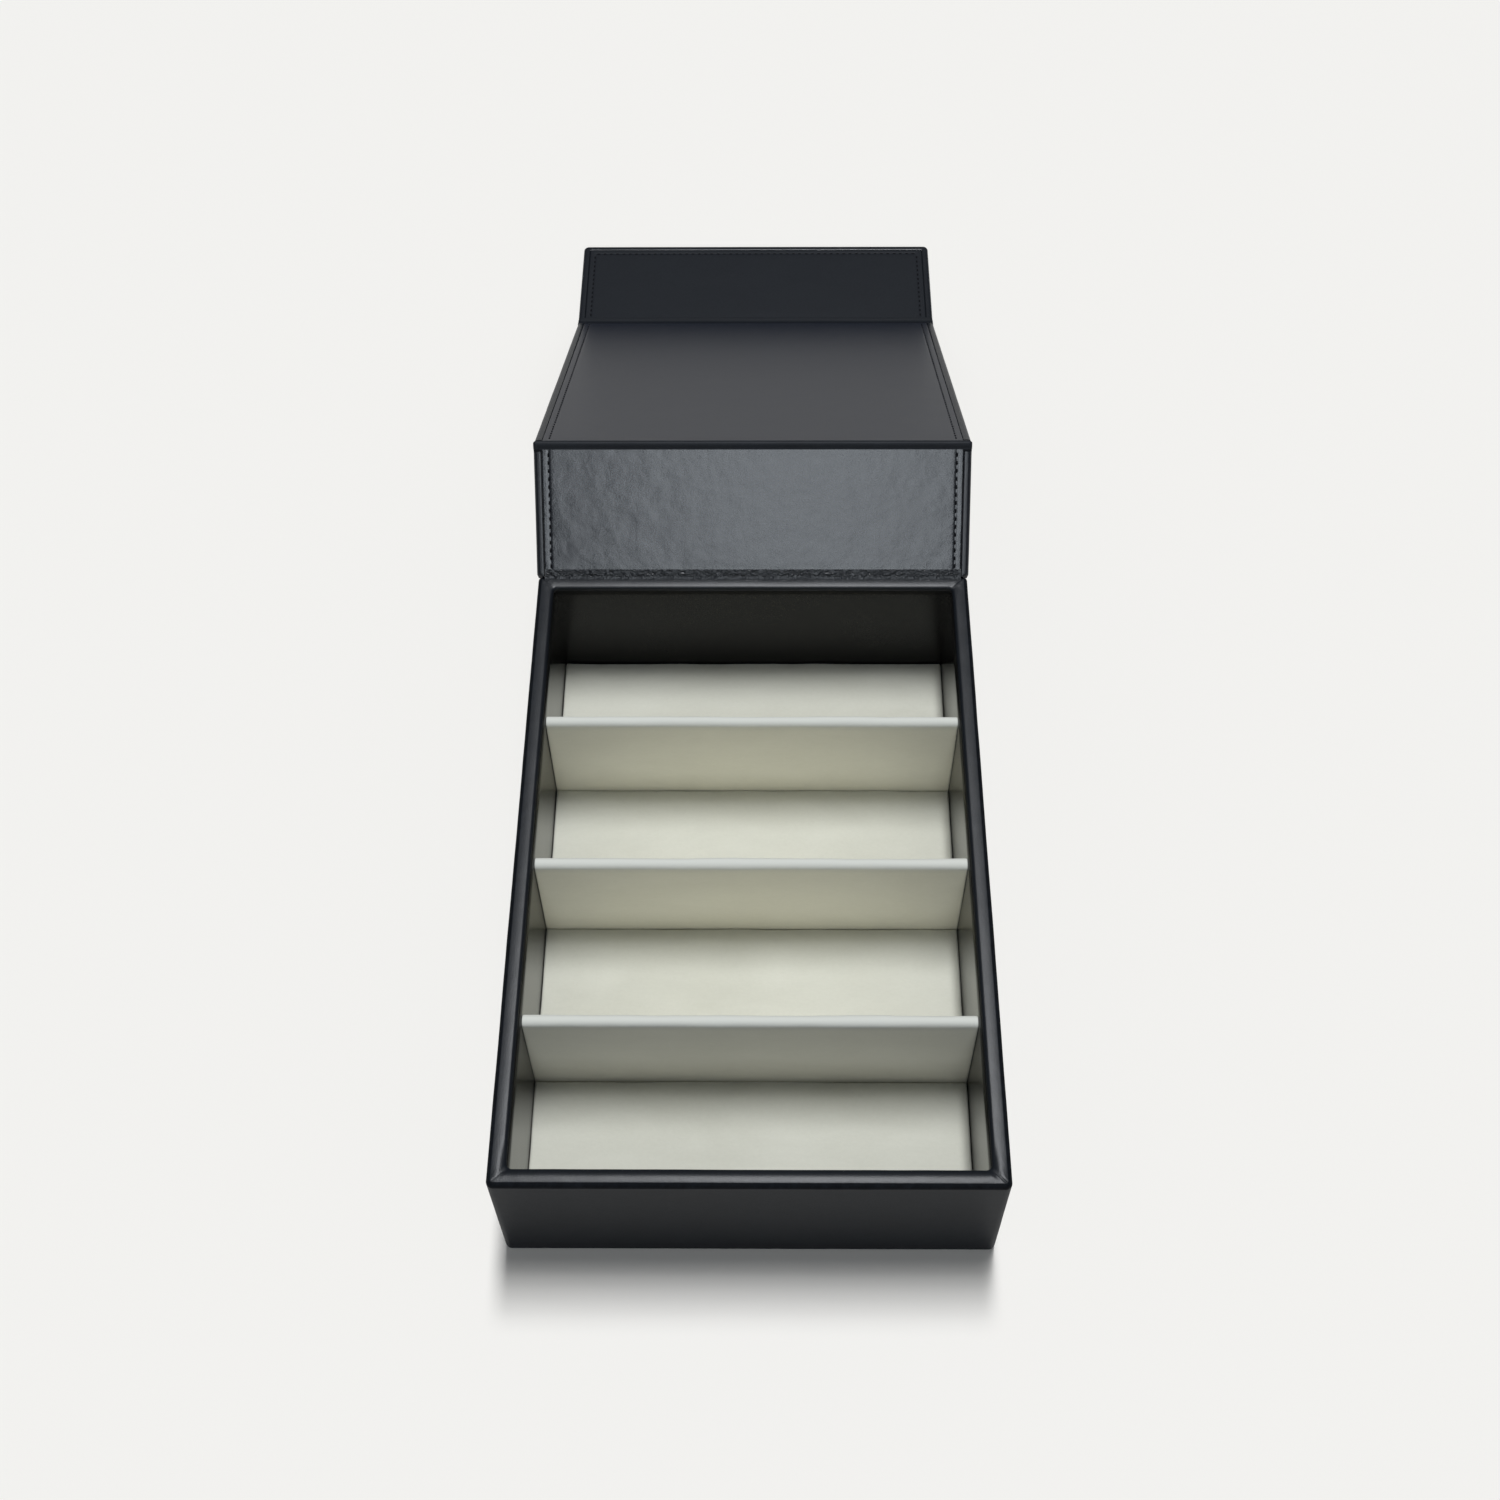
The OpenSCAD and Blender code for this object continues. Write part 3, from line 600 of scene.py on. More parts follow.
def tray_leather():
    prof = []  # (u, z, corner radius, shown)
    prof += [(u, 0.8, max(2.5 - u, 0.3), 0.0) for u in (12.0, 9.0, 6.0, 3.5, 2.0)]
    prof += [(p[0], p[1], max(2.5 - p[0], 0.3), 0.5) for p in arc(1.5, 2.3, 1.5, -90, -180, 6)]
    prof += [(0.0, z, 2.5, 1.0) for z in np.linspace(3.5, H - 4.2, 24)]
    roll0 = len(prof)
    prof += rim_top(2.0, 7.0, 14.0, 6.1, 25.0)
    roll1 = roll0 + 13
    flat = list(prof[:roll0]) + rim_top(1.9, 4.0, 24.0, 24.0, 4.5)
    back = list(prof[:roll0]) + rim_top(1.9, 4.0, 14.0, 14.6, 13.4)
    tail = [(RIM, z, r, 0.3) for z, r in ((61.7, 2.15), (60.8, 1.7), (58.5, 0.9), (54.0, 0.3), (51.0, 0.3))]
    tail += [(6.02, z, 0.3, 0.0) for z in (51.0, 55.0, 59.0, 61.9)]
    tail += [(5.4, 62.75, 0.3, 0.0), (4.5, 62.95, 0.3, 0.0), (3.2, 62.95, 0.3, 0.0)]
    tail += [(p[0], p[1], 1.5, 0.0) for p in arc(2.5, 61.45, 1.4, 90, 180, 5)]
    tail += [(1.03, z, 1.52, 0.0) for z in (50.0, 35.0, 20.0, 5.0, 1.62)]
    tail += [(u, 1.58, 0.3, 0.0) for u in (4.0, 8.0, 12.0)]
    prof += tail
    flat += tail
    back += tail
    n_arc = 8
    sx, sy = spaced(2 * HW), spaced(2 * HL)
    both = []
    for pr in (prof, flat, back):
        rows = []
        for u, z, r, shown in pr:
            xy = np.array(ring(HW - u, HL - u, max(r, 0.25), sx, sy, n_arc))
            rows.append(np.column_stack([xy, np.full(len(xy), z)]))
        both.append(np.stack(rows, 1))  # (M, K, 3)
    rear_w = smooth((both[0][:, 0, 1] + HL - 10.0) / 14.0)[:, None]
    back_w = smooth((both[0][:, 0, 1] - HL + 20.0) / 14.0)[:, None]
    P = both[0] + (both[1] - both[0]) * rear_w[..., None] + (both[2] - both[1]) * back_w[..., None]
    M_, K = P.shape[:2]
    shown = np.array([p[3] for p in prof])[None, :]
    U = np.array([p[0] for p in prof])[None, :]
    Z = P[..., 2]
    # outward direction of each point from its profile
    ways = []
    for pr in (prof, flat, back):
        prof_a = np.array([(p[0], p[1]) for p in pr])
        tan = np.roll(prof_a, -1, 0) - np.roll(prof_a, 1, 0)
        nrm = np.column_stack([-tan[:, 1], tan[:, 0]])  # (du, dz), left of travel
        nrm /= np.maximum(np.linalg.norm(nrm, axis=1, keepdims=True), 1e-9)
        ways.append(-nrm if nrm[12, 0] > 0 else nrm)
    nrm = ways[0][None] + (ways[1] - ways[0])[None] * rear_w[..., None] + (ways[2] - ways[1])[None] * back_w[..., None]
    side = np.zeros((M_, 1, 2))
    mid = P[:, len(prof) // 3, :2]
    out = np.column_stack([np.clip(np.abs(mid[:, 0]) - (HW - 2.5), 0, None) * np.sign(mid[:, 0]),
                           np.clip(np.abs(mid[:, 1]) - (HL - 2.5), 0, None) * np.sign(mid[:, 1])])
    out /= np.maximum(np.linalg.norm(out, axis=1, keepdims=True), 1e-9)
    side[:, 0] = out
    N = np.concatenate([-nrm[..., :1] * side, nrm[..., 1:]], -1)
    # leather drawn over board: long shallow waves, and small ones on the rim
    d = 0.05 * noise(P, 26, 1) + 0.03 * noise(P, 9, 2)
    on_rim = smooth((Z - 60.5) / 2.0) * (shown > 0.6)
    d = d + on_rim * (0.05 * noise(P, 16, 3) + 0.012 * noise(P, 4.0, 4))
    # folded corners: the leather laps over itself along the mitre, with short pleats beside it
    dx, dy = HW - np.abs(P[..., 0]), HL - np.abs(P[..., 1])
    e = dx - dy
    reach = smooth((7.5 - np.maximum(dx, dy)) / 2.0)
    right_front = (P[..., 0] > 0) & (P[..., 1] < 0)
    left_front = (P[..., 0] < 0) & (P[..., 1] < 0)
    fold = np.where(left_front, 0.25, np.where(right_front, 1.0, 0.8))
    lap = -0.16 * np.exp(-((e - 0.3) / 0.55) ** 2) + 0.07 * np.exp(-((e + 1.0) / 0.9) ** 2)
    pleat = 0.07 * np.sin(e * 2.3 + 0.8) * np.exp(-(np.abs(e - 0.6) / 3.0) ** 2) * smooth((np.minimum(dx, dy) - 1.8) / 2.5)
    pucker = 0.10 * noise(P * np.array([1.0, 1.0, 0.4]), 1.6, 6) * np.exp(-((dx - 4.5) ** 2 + (dy - 5.0) ** 2) / 7.0)
    d = d + on_rim * (reach * fold * (lap + pleat) + fold * pucker)
    # the underside and what is hidden stay flat
    d = d * np.clip(shown, 0, 1) * smooth(Z / 4.0)
    d = np.minimum(d, 0.12)
    P = P + N * d[..., None]
    edge = np.exp(-((np.sqrt((U - 1.0) ** 2 + (Z - (H - 1.0)) ** 2)) / 1.6) ** 2)
    edge = edge + 0.8 * np.exp(-(np.minimum(dx, dy) ** 2 + (dx - dy) ** 2) / 6.0) * (np.maximum(dx, dy) < 5)
    edge = edge + 0.5 * np.exp(-((Z - 1.2) / 1.4) ** 2) * (U < 2)
    faces = quads(M_, K, True, True)
    ob = make("tray_leather", P.reshape(-1, 3), faces, M_LEATHER, "tray",
              ("front_leather", "rear_leather", "left_leather", "right_leather"),
              np.clip(edge, 0, 1).reshape(-1))
    # the outer roll gets a darker, matt leather: painted shade where the roll faces the dark surroundings
    ob.data.materials.append(M_EDGE_PAINTED_SHADE)
    which = np.tile((np.arange(K) >= roll0) & (np.arange(K) < roll1), M_).astype(np.int32)
    ob.data.polygons.foreach_set("material_index", which)
    ob.data.update()
    return ob


tray_leather()


# ------------------------------------------------------------------ wall linings
def wall_lining(name, along_x, sign, half_len):
    """Stiff lining panel on the inside of a wall: wrapped, with soft top edge, bowed a hair between its ends."""
    top = 62.25
    lo = CY if along_x else CX  # inside face
    thin, full = 0.8, 1.5
    prof = [(0.0, BASE + 0.02)] + [(0.0, z) for z in np.linspace(BASE + 2, top - 2.6, 16)]
    prof += [(0.05, top - 1.9), (0.18, top - 1.3), (0.36, top - 0.75), (0.55, top - 0.3), (0.66, top - 0.06), (0.74, top)]
    prof += [(thin, top - 0.1), (thin, 58.0), (thin, 51.0), (full, 50.98), (full, 30.0), (full, BASE + 0.02), (0.75, BASE + 0.02)]
    prof = np.array(prof)
    n = int(2 * half_len / 4) + 1
    s = np.linspace(-half_len, half_len, n)
    U, S = np.meshgrid(prof[:, 0], s)
    Zz = np.broadcast_to(prof[:, 1], U.shape)
    pt = np.stack([S, np.full_like(S, lo) * sign, Zz], -1)
    bow = (0.09 * noise(pt, 30, 11) + 0.03 * noise(pt, 9, 12)) * (U < 0.3) * smooth((Zz - BASE) / 5)
    depth = lo + U - 0.0 - np.clip(bow, -0.12, 0.12) * 1.0
    if along_x:
        P = np.stack([S, depth * sign, Zz], -1)
    else:
        P = np.stack([depth * sign, S, Zz], -1)
    K = len(prof)
    faces = [tuple(f) for f in quads(n, K, False, True)]
    faces += [tuple(range(K)), tuple(range((n - 1) * K, n * K))]
    node = name
    ob = make(name + "_panel", P.reshape(-1, 3), faces, M_WALL, "tray", (node,))
    sharp(ob, 50)
    return ob


wall_lining("front_lining", True, -1, 83.28)
wall_lining("rear_lining", True, 1, 83.28)
wall_lining("left_lining", False, -1, CY - 0.02)
wall_lining("right_lining", False, 1, CY - 0.02)


# ------------------------------------------------------------------ pads
def axis_grid(lo, hi, r, step):
    n = max(2, int(round((hi - lo - 2 * r) / step)))
    inner = np.linspace(lo + r, hi - r, n + 1)
    e = np.array([0, 0.34, 0.68]) * r
    return np.concatenate([lo + e, inner, hi - e[::-1]])


def soft_box(x0, x1, y0, y1, z0, z1, r, step):
    """A closed block with rounded edges, evenly meshed for cloth. Returns points in mm and faces."""
    gx, gy = axis_grid(x0, x1, r, step), axis_grid(y0, y1, r, step)
    gz = np.concatenate([[z0, z0 + 0.35, z0 + 0.8], np.linspace(z0 + 0.8, z1 - r, 4)[1:], [z1 - 0.66 * r, z1 - 0.32 * r, z1]])
    verts, faces, index = [], [], {}

    def vid(p):
        key = tuple(np.round(p, 5))
        if key not in index:
            index[key] = len(verts)
            verts.append(p)
        return index[key]

    def patch(a, b, f):
        ids = [[vid(f(u, v)) for v in b] for u in a]
        for i in range(len(a) - 1):
            for j in range(len(b) - 1):
                faces.append((ids[i][j], ids[i + 1][j], ids[i + 1][j + 1], ids[i][j + 1]))

    patch(gx, gy, lambda u, v: (u, v, z1))
    patch(gx, gy, lambda u, v: (u, v, z0))
    patch(gx, gz, lambda u, v: (u, y0, v))
    patch(gx, gz, lambda u, v: (u, y1, v))
    patch(gy, gz, lambda u, v: (x0, u, v))
    patch(gy, gz, lambda u, v: (x1, u, v))
    V = np.array(verts, float)
    rr = 0.5 + (r - 0.5) * smooth((V[:, 2] - z0) / (z1 - z0))
    rb = 0.5
    C = V.copy()
    C[:, 0] = np.clip(V[:, 0], x0 + rr, x1 - rr)
    C[:, 1] = np.clip(V[:, 1], y0 + rr, y1 - rr)
    C[:, 2] = np.clip(V[:, 2], z0 + rb, z1 - r)
    D = V - C
    scale = np.column_stack([rr, rr, np.where(V[:, 2] > (z0 + z1) / 2, r, rb)])
    Q = D / scale
    ln = np.linalg.norm(Q, axis=1)
    mx = np.abs(Q).max(1)
    k = np.where(ln > 1e-9, mx / np.maximum(ln, 1e-9), 1.0)
    return C + D * k[:, None], faces


def puff(ob, fixed, cap, pressure=4.0, frames=16):
    """Blender's cloth, blown up against its pinned underside, then scaled so that no point moves more than cap mm."""
    n = len(ob.data.vertices)
    rest = np.empty(n * 3)
    ob.data.vertices.foreach_get("co", rest)
    rest = rest.reshape(-1, 3)
    g = ob.vertex_groups.new(name="pin")
    for i, w in enumerate(fixed):
        if w > 0:
            g.add([i], float(w), "REPLACE")
    md = ob.modifiers.new("cloth", "CLOTH")
    s = md.settings
    s.quality = 5
    s.mass = 0.25
    s.tension_stiffness = 25
    s.compression_stiffness = 25
    s.shear_stiffness = 12
    s.bending_stiffness = 1.0
    s.use_pressure = True
    s.uniform_pressure_force = pressure
    s.effector_weights.gravity = 0
    s.vertex_group_mass = "pin"
    md.point_cache.frame_start = 1
    md.point_cache.frame_end = frames
    for f in range(1, frames + 1):
        scene.frame_set(f)
    ev = ob.evaluated_get(bpy.context.evaluated_depsgraph_get())
    me = ev.to_mesh()
    now = np.empty(n * 3)
    me.vertices.foreach_get("co", now)
    ev.to_mesh_clear()
    now = now.reshape(-1, 3)
    ob.modifiers.remove(md)
    ob.vertex_groups.remove(g)
    scene.frame_set(1)
    move = now - rest
    big = np.linalg.norm(move, axis=1).max()
    print("cloth moved up to", round(big * 1000, 2), "mm on", ob.name)
    if not np.isfinite(big) or big < 1e-7:
        return rest, np.zeros_like(rest)
    return rest, move * min(1.0, cap * MM / big)


def pad(k):
    y0, y1 = PADS[k]
    top = PAD_Z1 - 0.15
    V, F = soft_box(-PAD_X - 0.3, PAD_X + 0.3, y0 - 0.25, y1 + 0.25, BASE + 0.02, top, 0.85, 2.4)
    ob = make("pad_%d" % (k + 1), V, F, M_SUEDE, None, keep=True)
    n = len(ob.data.vertices)
    co = np.empty(n * 3)
    ob.data.vertices.foreach_get("co", co)
    co = co.reshape(-1, 3)
    z = co[:, 2] / MM
    rest, move = puff(ob, np.where(z < BASE + 1.4, 1.0, 0.0), 0.95)
    move[:, :2] = np.clip(move[:, :2], -0.18 * MM, 0.18 * MM)
    P = (rest + move) / MM
    # hand-stretched suede: the long edges wander a little and the top has faint hollows
    q = np.column_stack([P[:, 0], P[:, 1], np.full(n, 7.0 * k)])
    rise = smooth((P[:, 2] - BASE - 3) / 4)
    near = np.exp(-((np.minimum(P[:, 1] - y0, y1 - P[:, 1])) / 3.0) ** 2)
    P[:, 2] += rise * (0.10 * noise(q, 24, 21) + 0.05 * noise(q, 9, 22) + near * 0.18 * noise(q, 11, 23))
    mid = (y0 + y1) / 2
    P[:, 1] += np.clip(near * rise * 0.22 * noise(q, 14, 24), -0.2, 0.2) * np.sign(P[:, 1] - mid)
    P[:, 0] = np.clip(P[:, 0], -PAD_X - 0.36, PAD_X + 0.36)
    P[:, 1] = np.clip(P[:, 1], y0 - 0.34, y1 + 0.34)
    ob.data.vertices.foreach_set("co", (P * MM).reshape(-1))
    ob.data.update()
    sub = ob.modifiers.new("sub", "SUBSURF")
    sub.levels = sub.render_levels = 1
    dg = bpy.context.evaluated_depsgraph_get()
    me = bpy.data.meshes.new_from_object(ob.evaluated_get(dg))
    ob.modifiers.clear()
    old = ob.data
    ob.data = me
    bpy.data.meshes.remove(old)
    for p in ob.data.polygons:
        p.use_smooth = True
    settle(ob, "tray", ("pad_%d_cover" % (k + 1),))
    return ob


for k in range(4):
    pad(k)


# ------------------------------------------------------------------ dividers
def divider(k):
    """Suede drawn over a thin board with a little padding: a rounded, slightly uneven top and soft faces."""
    yc = DIV_Y[k]
    top, r, half = 60.5, 2.5, 82.42
    prof = [(0.0, BASE + 0.02), (1.2, BASE + 0.02), (2.1, BASE + 0.05), (2.45, BASE + 0.5)]
    prof += [(2.5, z) for z in np.linspace(BASE + 1.6, top - r, 22)]
    prof += [(p[0], p[1]) for p in arc(0, top - r, r, 0, 180, 18, False)]
    prof += [(-2.5, z) for z in np.linspace(top - r, BASE + 1.6, 22)[1:]]
    prof += [(-2.45, BASE + 0.5), (-2.1, BASE + 0.05), (-1.2, BASE + 0.02)]
    prof = np.array(prof)
    K = len(prof)
    s = np.concatenate([[0, 0.12, 0.35, 0.8], np.linspace(1.8, 2 * half - 1.8, 96), 2 * half - np.array([0.8, 0.35, 0.12, 0])]) - half
    inset = np.interp(half - np.abs(s), [0, 0.12, 0.35, 0.8, 1.8], [0.34, 0.16, 0.05, 0.0, 0.0])
    n = len(s)
    Y = np.broadcast_to(prof[:, 0], (n, K)).copy()
    Zp = np.broadcast_to(prof[:, 1], (n, K)).copy()
    X = np.broadcast_to(s[:, None], (n, K)).copy()
    ang = np.where(Zp > top - r, np.arctan2(Zp - (top - r), Y), np.where(Y > 0, 0, math.pi))
    ny, nz = np.cos(ang), np.where(Zp > top - r, np.sin(ang), 0)
    q = np.stack([X, Y * 3, Zp], -1) + np.array([0, 90.0 * k, 0])
    foot = smooth((Zp - BASE) / 4)
    d = foot * (0.12 * noise(q, 22, 31) + 0.07 * noise(q, 8, 32))
    crown = smooth((Zp - (top - 3.5)) / 2.5)
    line_q = np.stack([X, np.full_like(X, 50.0 * k), np.zeros_like(X)], -1)
    d = d + crown * (0.16 * noise(line_q, 17, 33) + 0.08 * noise(line_q, 5.5, 34)) - 0.05
    d = np.clip(d, -0.35, 0.2) - inset[:, None] * foot.clip(0.3)
    # padding is fullest at mid height
    d = d + 0.12 * np.sin(np.clip((Zp - BASE) / (top - BASE), 0, 1) * math.pi)
    Y = Y + ny * d
    Zp = np.maximum(Zp + nz * d, BASE + 0.02)
    P = np.stack([X, Y + yc, Zp], -1)
    faces = [tuple(f) for f in quads(n, K, False, True)]
    faces += [tuple(range(K)), tuple(range((n - 1) * K, n * K))]
    # the top band keeps the plain suede tone; below it the faces carry the lighter colour, painted bounce light
    pale = smooth((Zp - (top - 3.2)) / 2.2)
    ob = make("divider_%d" % (k + 1), P.reshape(-1, 3), faces, M_DIVIDER_PAINTED_BOUNCE, "tray", ("divider_%d_cover" % (k + 1),),
              pale.reshape(-1))
    return ob


for k in range(3):
    divider(k)


# ------------------------------------------------------------------ lid panels
def panel_skin(name, y0, y1, p, degrees, body, node, tail=0.0):
    """Leather wrapped round both long edges of a board, its edges turned over onto the inside."""
    r = 1.6
    zc = (Z_IN + Z_OUT) / 2
    lip = LX - LIP
    half = [(lip + 0.02, Z_LIN), (lip, Z_LIN + 0.3)] + arc(lip + 0.32, Z_IN - 0.32, 0.32, 180, 90, 3)
    half += [(lip + 0.9, Z_IN)]
    half += arc(LX - r, Z_IN - r, r, 90, 0, 9)
    half += arc(LX - r, Z_OUT + r, r, 0, -90, 9)
    right_half = half
    bottom = [(x, Z_OUT) for x in np.linspace(LX - r - 3, -(LX - r - 3), 56)]
    left_half = [(-x, z) for x, z in reversed(half)]
    outer = right_half + bottom + left_half
    b = LX - 1.0
    inner = [(-b, Z_LIN - 0.01), (-b, Z_BRD)] + [(x, Z_BRD) for x in np.linspace(-b + 3, b - 3, 30)] + [(b, Z_BRD), (b, Z_LIN - 0.01)]
    loop = np.array(outer + inner)
    K, n = len(loop), max(8, int((y1 - y0) / 2.5))
    s = np.linspace(y0, y1, n)
    if tail:
        s = np.concatenate([y0 + np.array([0, 0.03, 0.05, 0.07, 0.16, 0.26, 0.29, 0.65, 1.05, 1.6, 2.3, 3.1]), np.linspace(y0 + 4.4, y1, n)])
        n = len(s)
    X = np.broadcast_to(loop[:, 0], (n, K)).copy()
    Zp = np.broadcast_to(loop[:, 1], (n, K)).copy()
    S = np.broadcast_to(s[:, None], (n, K)).copy()
    on = np.zeros(K)
    on[: len(outer)] = 1
    q = np.stack([X * 0 + np.sign(X) * 50, S + degrees, Zp * 0], -1)
    endf = smooth(np.minimum(S - y0, y1 - S) / 4)
    d = on[None, :] * endf * (0.06 * noise(q, 24, 41) + 0.03 * noise(q, 7, 42))
    roll = smooth((np.abs(X) - (LX - 1.9)) / 1.2)
    X = X - np.sign(X) * np.clip(d + 0.05, 0, 0.12) * roll
    under = np.stack([X, S + 2 * degrees, Zp * 0 + 90], -1)
    low = (Zp < Z_OUT + 0.05) * (np.abs(X) < LX - 1.7) * on[None, :] * endf
    Zp = Zp + low * np.clip(0.03 + 0.05 * noise(under, 30, 45) + 0.02 * noise(under, 9, 46), 0, 0.12)
    if tail:
        # the leather turns up over the board's end
        end = (S > y0 + 0.06) & (S < y0 + 0.275) & (on[None, :] == 0) & (Zp < Z_LIN - 0.1)
        Zp = np.where(end, Z_LIN - 0.02, Zp)
        first = smooth(1 - (S - y0) / 2.5)
        S = S - first * tail * smooth((np.abs(X) - (LX - 2.6)) / 1.3) * on[None, :]
        # the turned leather is pinched shut at the hinge
        pinch = smooth(1 - (S - (y0 - tail)) / 1.6) * on[None, :] * smooth((np.abs(X) - (LX - 2.6)) / 1.0)
        X = X - np.sign(X) * pinch * 0.55
        Zp = Zp + (zc - Zp) * pinch * 0.30
    P = placed(np.stack([X, S, Zp], -1), p, degrees)
    edge = np.exp(-((LX - np.abs(X)) / 1.2) ** 2) * on[None, :]
    faces = [tuple(f) for f in quads(n, K, False, True)]
    faces += [tuple(range(K)), tuple(range((n - 1) * K, n * K))]
    ob = make(name, P.reshape(-1, 3), faces, M_LIDSKIN, body, (node,), edge.reshape(-1))
    sharp(ob, 60)
    return ob


def row_places(y0, y1, step=PITCH_ST, length=STITCH):
    n = int(math.floor((y1 - y0 - length) / step))
    s0 = (y0 + y1 - n * step) / 2
    return s0 + step * np.arange(n + 1)


def panel_lining(name, y0, y1, p, degrees, body, node, stitch_y, end_row=None, hinge_a=True, hinge_b=True):
    """Thin leather set inside the turned edges, pulled down along its stitching."""
    xe = LX - LIP - 0.06
    fine = np.concatenate([np.arange(-2.6, 2.61, 0.26)])
    right_x = np.concatenate([ROW + fine[(ROW + fine) < xe - 0.4], xe - np.array([0.34, 0.22, 0.1, 0.03, 0.0])])
    if end_row is None:
        mid_x = np.linspace(-(ROW - 3.4), ROW - 3.4, 62)
    else:
        mid_x = np.linspace(-(ROW - 3.1), ROW - 3.1, 300)
    gx = np.concatenate([-right_x[::-1], mid_x, right_x])
    if end_row is None:
        gy = np.linspace(y0, y1, int((y1 - y0) / 0.55))
    else:
        f2 = end_row + fine[(end_row + fine) < y1 - 0.4]
        gy = np.concatenate([np.arange(y0, end_row - 2.7, 0.55), f2, y1 - np.array([0.34, 0.22, 0.1, 0.03, 0.0])])
    X, S = np.meshgrid(gx, gy, indexing="ij")
    q = np.stack([X, S + degrees, np.zeros_like(X)], -1)
    Zt = np.full_like(X, Z_IN - 0.02)
    # rounded cut edges
    e = xe - np.abs(X)
    if end_row is not None:
        e = np.minimum(e, y1 - S)
    Zt = Zt - 0.42 * np.clip(1 - e / 0.42, 0, 1) ** 2
    # the stitch line: a valley, with a deeper hole between each two stitches
    near = (np.abs(X) - ROW)
    rows = (S > stitch_y[0] - 2.4) & (S < stitch_y[-1] + 2.4)
    fade = smooth((S - stitch_y[0] + 3.2) / 2.2) * smooth((stitch_y[-1] + 3.2 - S) / 2.2)
    phase = np.cos((S - stitch_y[0]) / PITCH_ST * 2 * math.pi)
    valley = 0.02 * np.exp(-(near / 1.3) ** 2) + 0.10 * np.exp(-(near / 0.55) ** 2)
    valley = valley - (0.5 - 0.5 * phase) * 0.025 * np.exp(-(near / 0.5) ** 2)
    drop = valley * fade
    if end_row is not None:
        px = row_places(-(ROW), ROW)
        ne = S - end_row
        ph = np.cos((X - px[0]) / PITCH_ST * 2 * math.pi)
        v = 0.02 * np.exp(-(ne / 1.3) ** 2) + 0.08 * np.exp(-(ne / 0.55) ** 2)
        v = v - (0.5 - 0.5 * ph) * 0.02 * np.exp(-(ne / 0.5) ** 2)
        drop = np.maximum(drop, v * smooth((ROW + 1.2 - np.abs(X)) / 1.5))
        drop = np.maximum(drop, 0)
    Zt = Zt - drop
    # long shallow waves of leather glued to card, and a soft swell next to the seam
    calm = smooth((S - y0) / 4)
    if end_row is None:
        calm = calm * smooth((y1 - S) / 4)
    Zt = Zt + calm * (0.05 * noise(q, 34, 51) * smooth(e / 6) + 0.015 * noise(q, 10, 52) * smooth(e / 4))
    Zt = np.minimum(Zt, Z_IN + 0.06)
    Zb = np.full_like(X, Z_LIN + 0.01)
    nx_, ny_ = X.shape
    top = np.stack([X, S, Zt], -1).reshape(-1, 3)
    bot = np.stack([X, S, Zb], -1).reshape(-1, 3)
    N = len(top)
    f = quads(nx_, ny_)
    faces = [tuple(v) for v in f] + [tuple(v[::-1] + N) for v in f]
    idx = np.arange(N).reshape(nx_, ny_)
    loop = list(idx[:, 0]) + list(idx[-1, 1:]) + list(idx[-2::-1, -1]) + list(idx[0, -2:0:-1])
    L = len(loop)
    faces += [(loop[i], loop[(i + 1) % L], loop[(i + 1) % L] + N, loop[i] + N) for i in range(L)]
    P = placed(np.concatenate([top, bot]), p, degrees)
    ob = make(name, P, faces, {"lid_rear": M_REARLIN, "lid_main": M_LIDLIN, "flap": M_FLAPLIN}[body], body, (node,))
    sharp(ob, 65)
    return ob


def stitches(name, places, p, degrees, body, node):
    """Each stitch is a short piece of twisted thread that dives into its holes. places: (x, y, along x?)"""
    ns, nc = 11, 10
    V, F = [], []
    rs = np.random.RandomState(7)
    for (x, y, flat) in places:
        t = np.linspace(-1, 1, ns)
        L = STITCH / 2 + 0.05
        lean = rs.uniform(-0.05, 0.05)
        zc = Z_IN - 0.10 - 0.62 * np.abs(t) ** 2.3 + rs.uniform(-0.02, 0.02)
        r = 0.36 * np.sqrt(np.clip(1 - (np.abs(t) * 0.93) ** 6, 0.05, 1))
        base = len(V)
        for i in range(ns):
            for j in range(nc):
                a = 2 * math.pi * j / nc
                tw = 1 + 0.07 * math.cos(2 * (a - t[i] * 7))
                o, h = math.cos(a) * r[i] * tw, math.sin(a) * r[i] * 0.85 * tw
                side = o + lean * t[i] * L
                if flat:
                    V.append((x + t[i] * L, y + side, zc[i] + h))
                else:
                    V.append((x + side, y + t[i] * L, zc[i] + h))
        for i in range(ns - 1):
            for j in range(nc):
                j2 = (j + 1) % nc
                F.append((base + i * nc + j, base + (i + 1) * nc + j, base + (i + 1) * nc + j2, base + i * nc + j2))
        F.append(tuple(base + j for j in range(nc)))
        F.append(tuple(base + (ns - 1) * nc + j for j in range(nc)))
    P = placed(np.array(V), p, degrees)
    return make(name, P, F, M_THREAD, body, (node,))


A0, A1 = 5.0, 54.7
B0, B1 = 3.3, 204.0
C0, C1 = 3.0, FLAP_LEN - LIP - 0.06
END_ROW = FLAP_LEN - 6.2

panel_skin("rear_panel_skin", 1.92, 53.8, P0, TILT, "lid_rear", "lid_rear_skin", 0.8)
panel_skin("main_panel_skin", 4.2, B1, P1, -SLOPE, "lid_main", "lid_main_skin")

sa = row_places(5.0, 53.8)
sb = row_places(4.2, 204.0)
sc_ = row_places(C0, FLAP_LEN - 6.2 - 0.6)
panel_lining("rear_panel_lining", A0, A1, P0, TILT, "lid_rear", "lid_rear_lining", sa)
panel_lining("main_panel_lining", B0, B1, P1, -SLOPE, "lid_main", "lid_main_lining", sb)
panel_lining("front_flap_lining", C0, C1, P2, 0.0, "flap", "flap_lining", sc_, END_ROW)

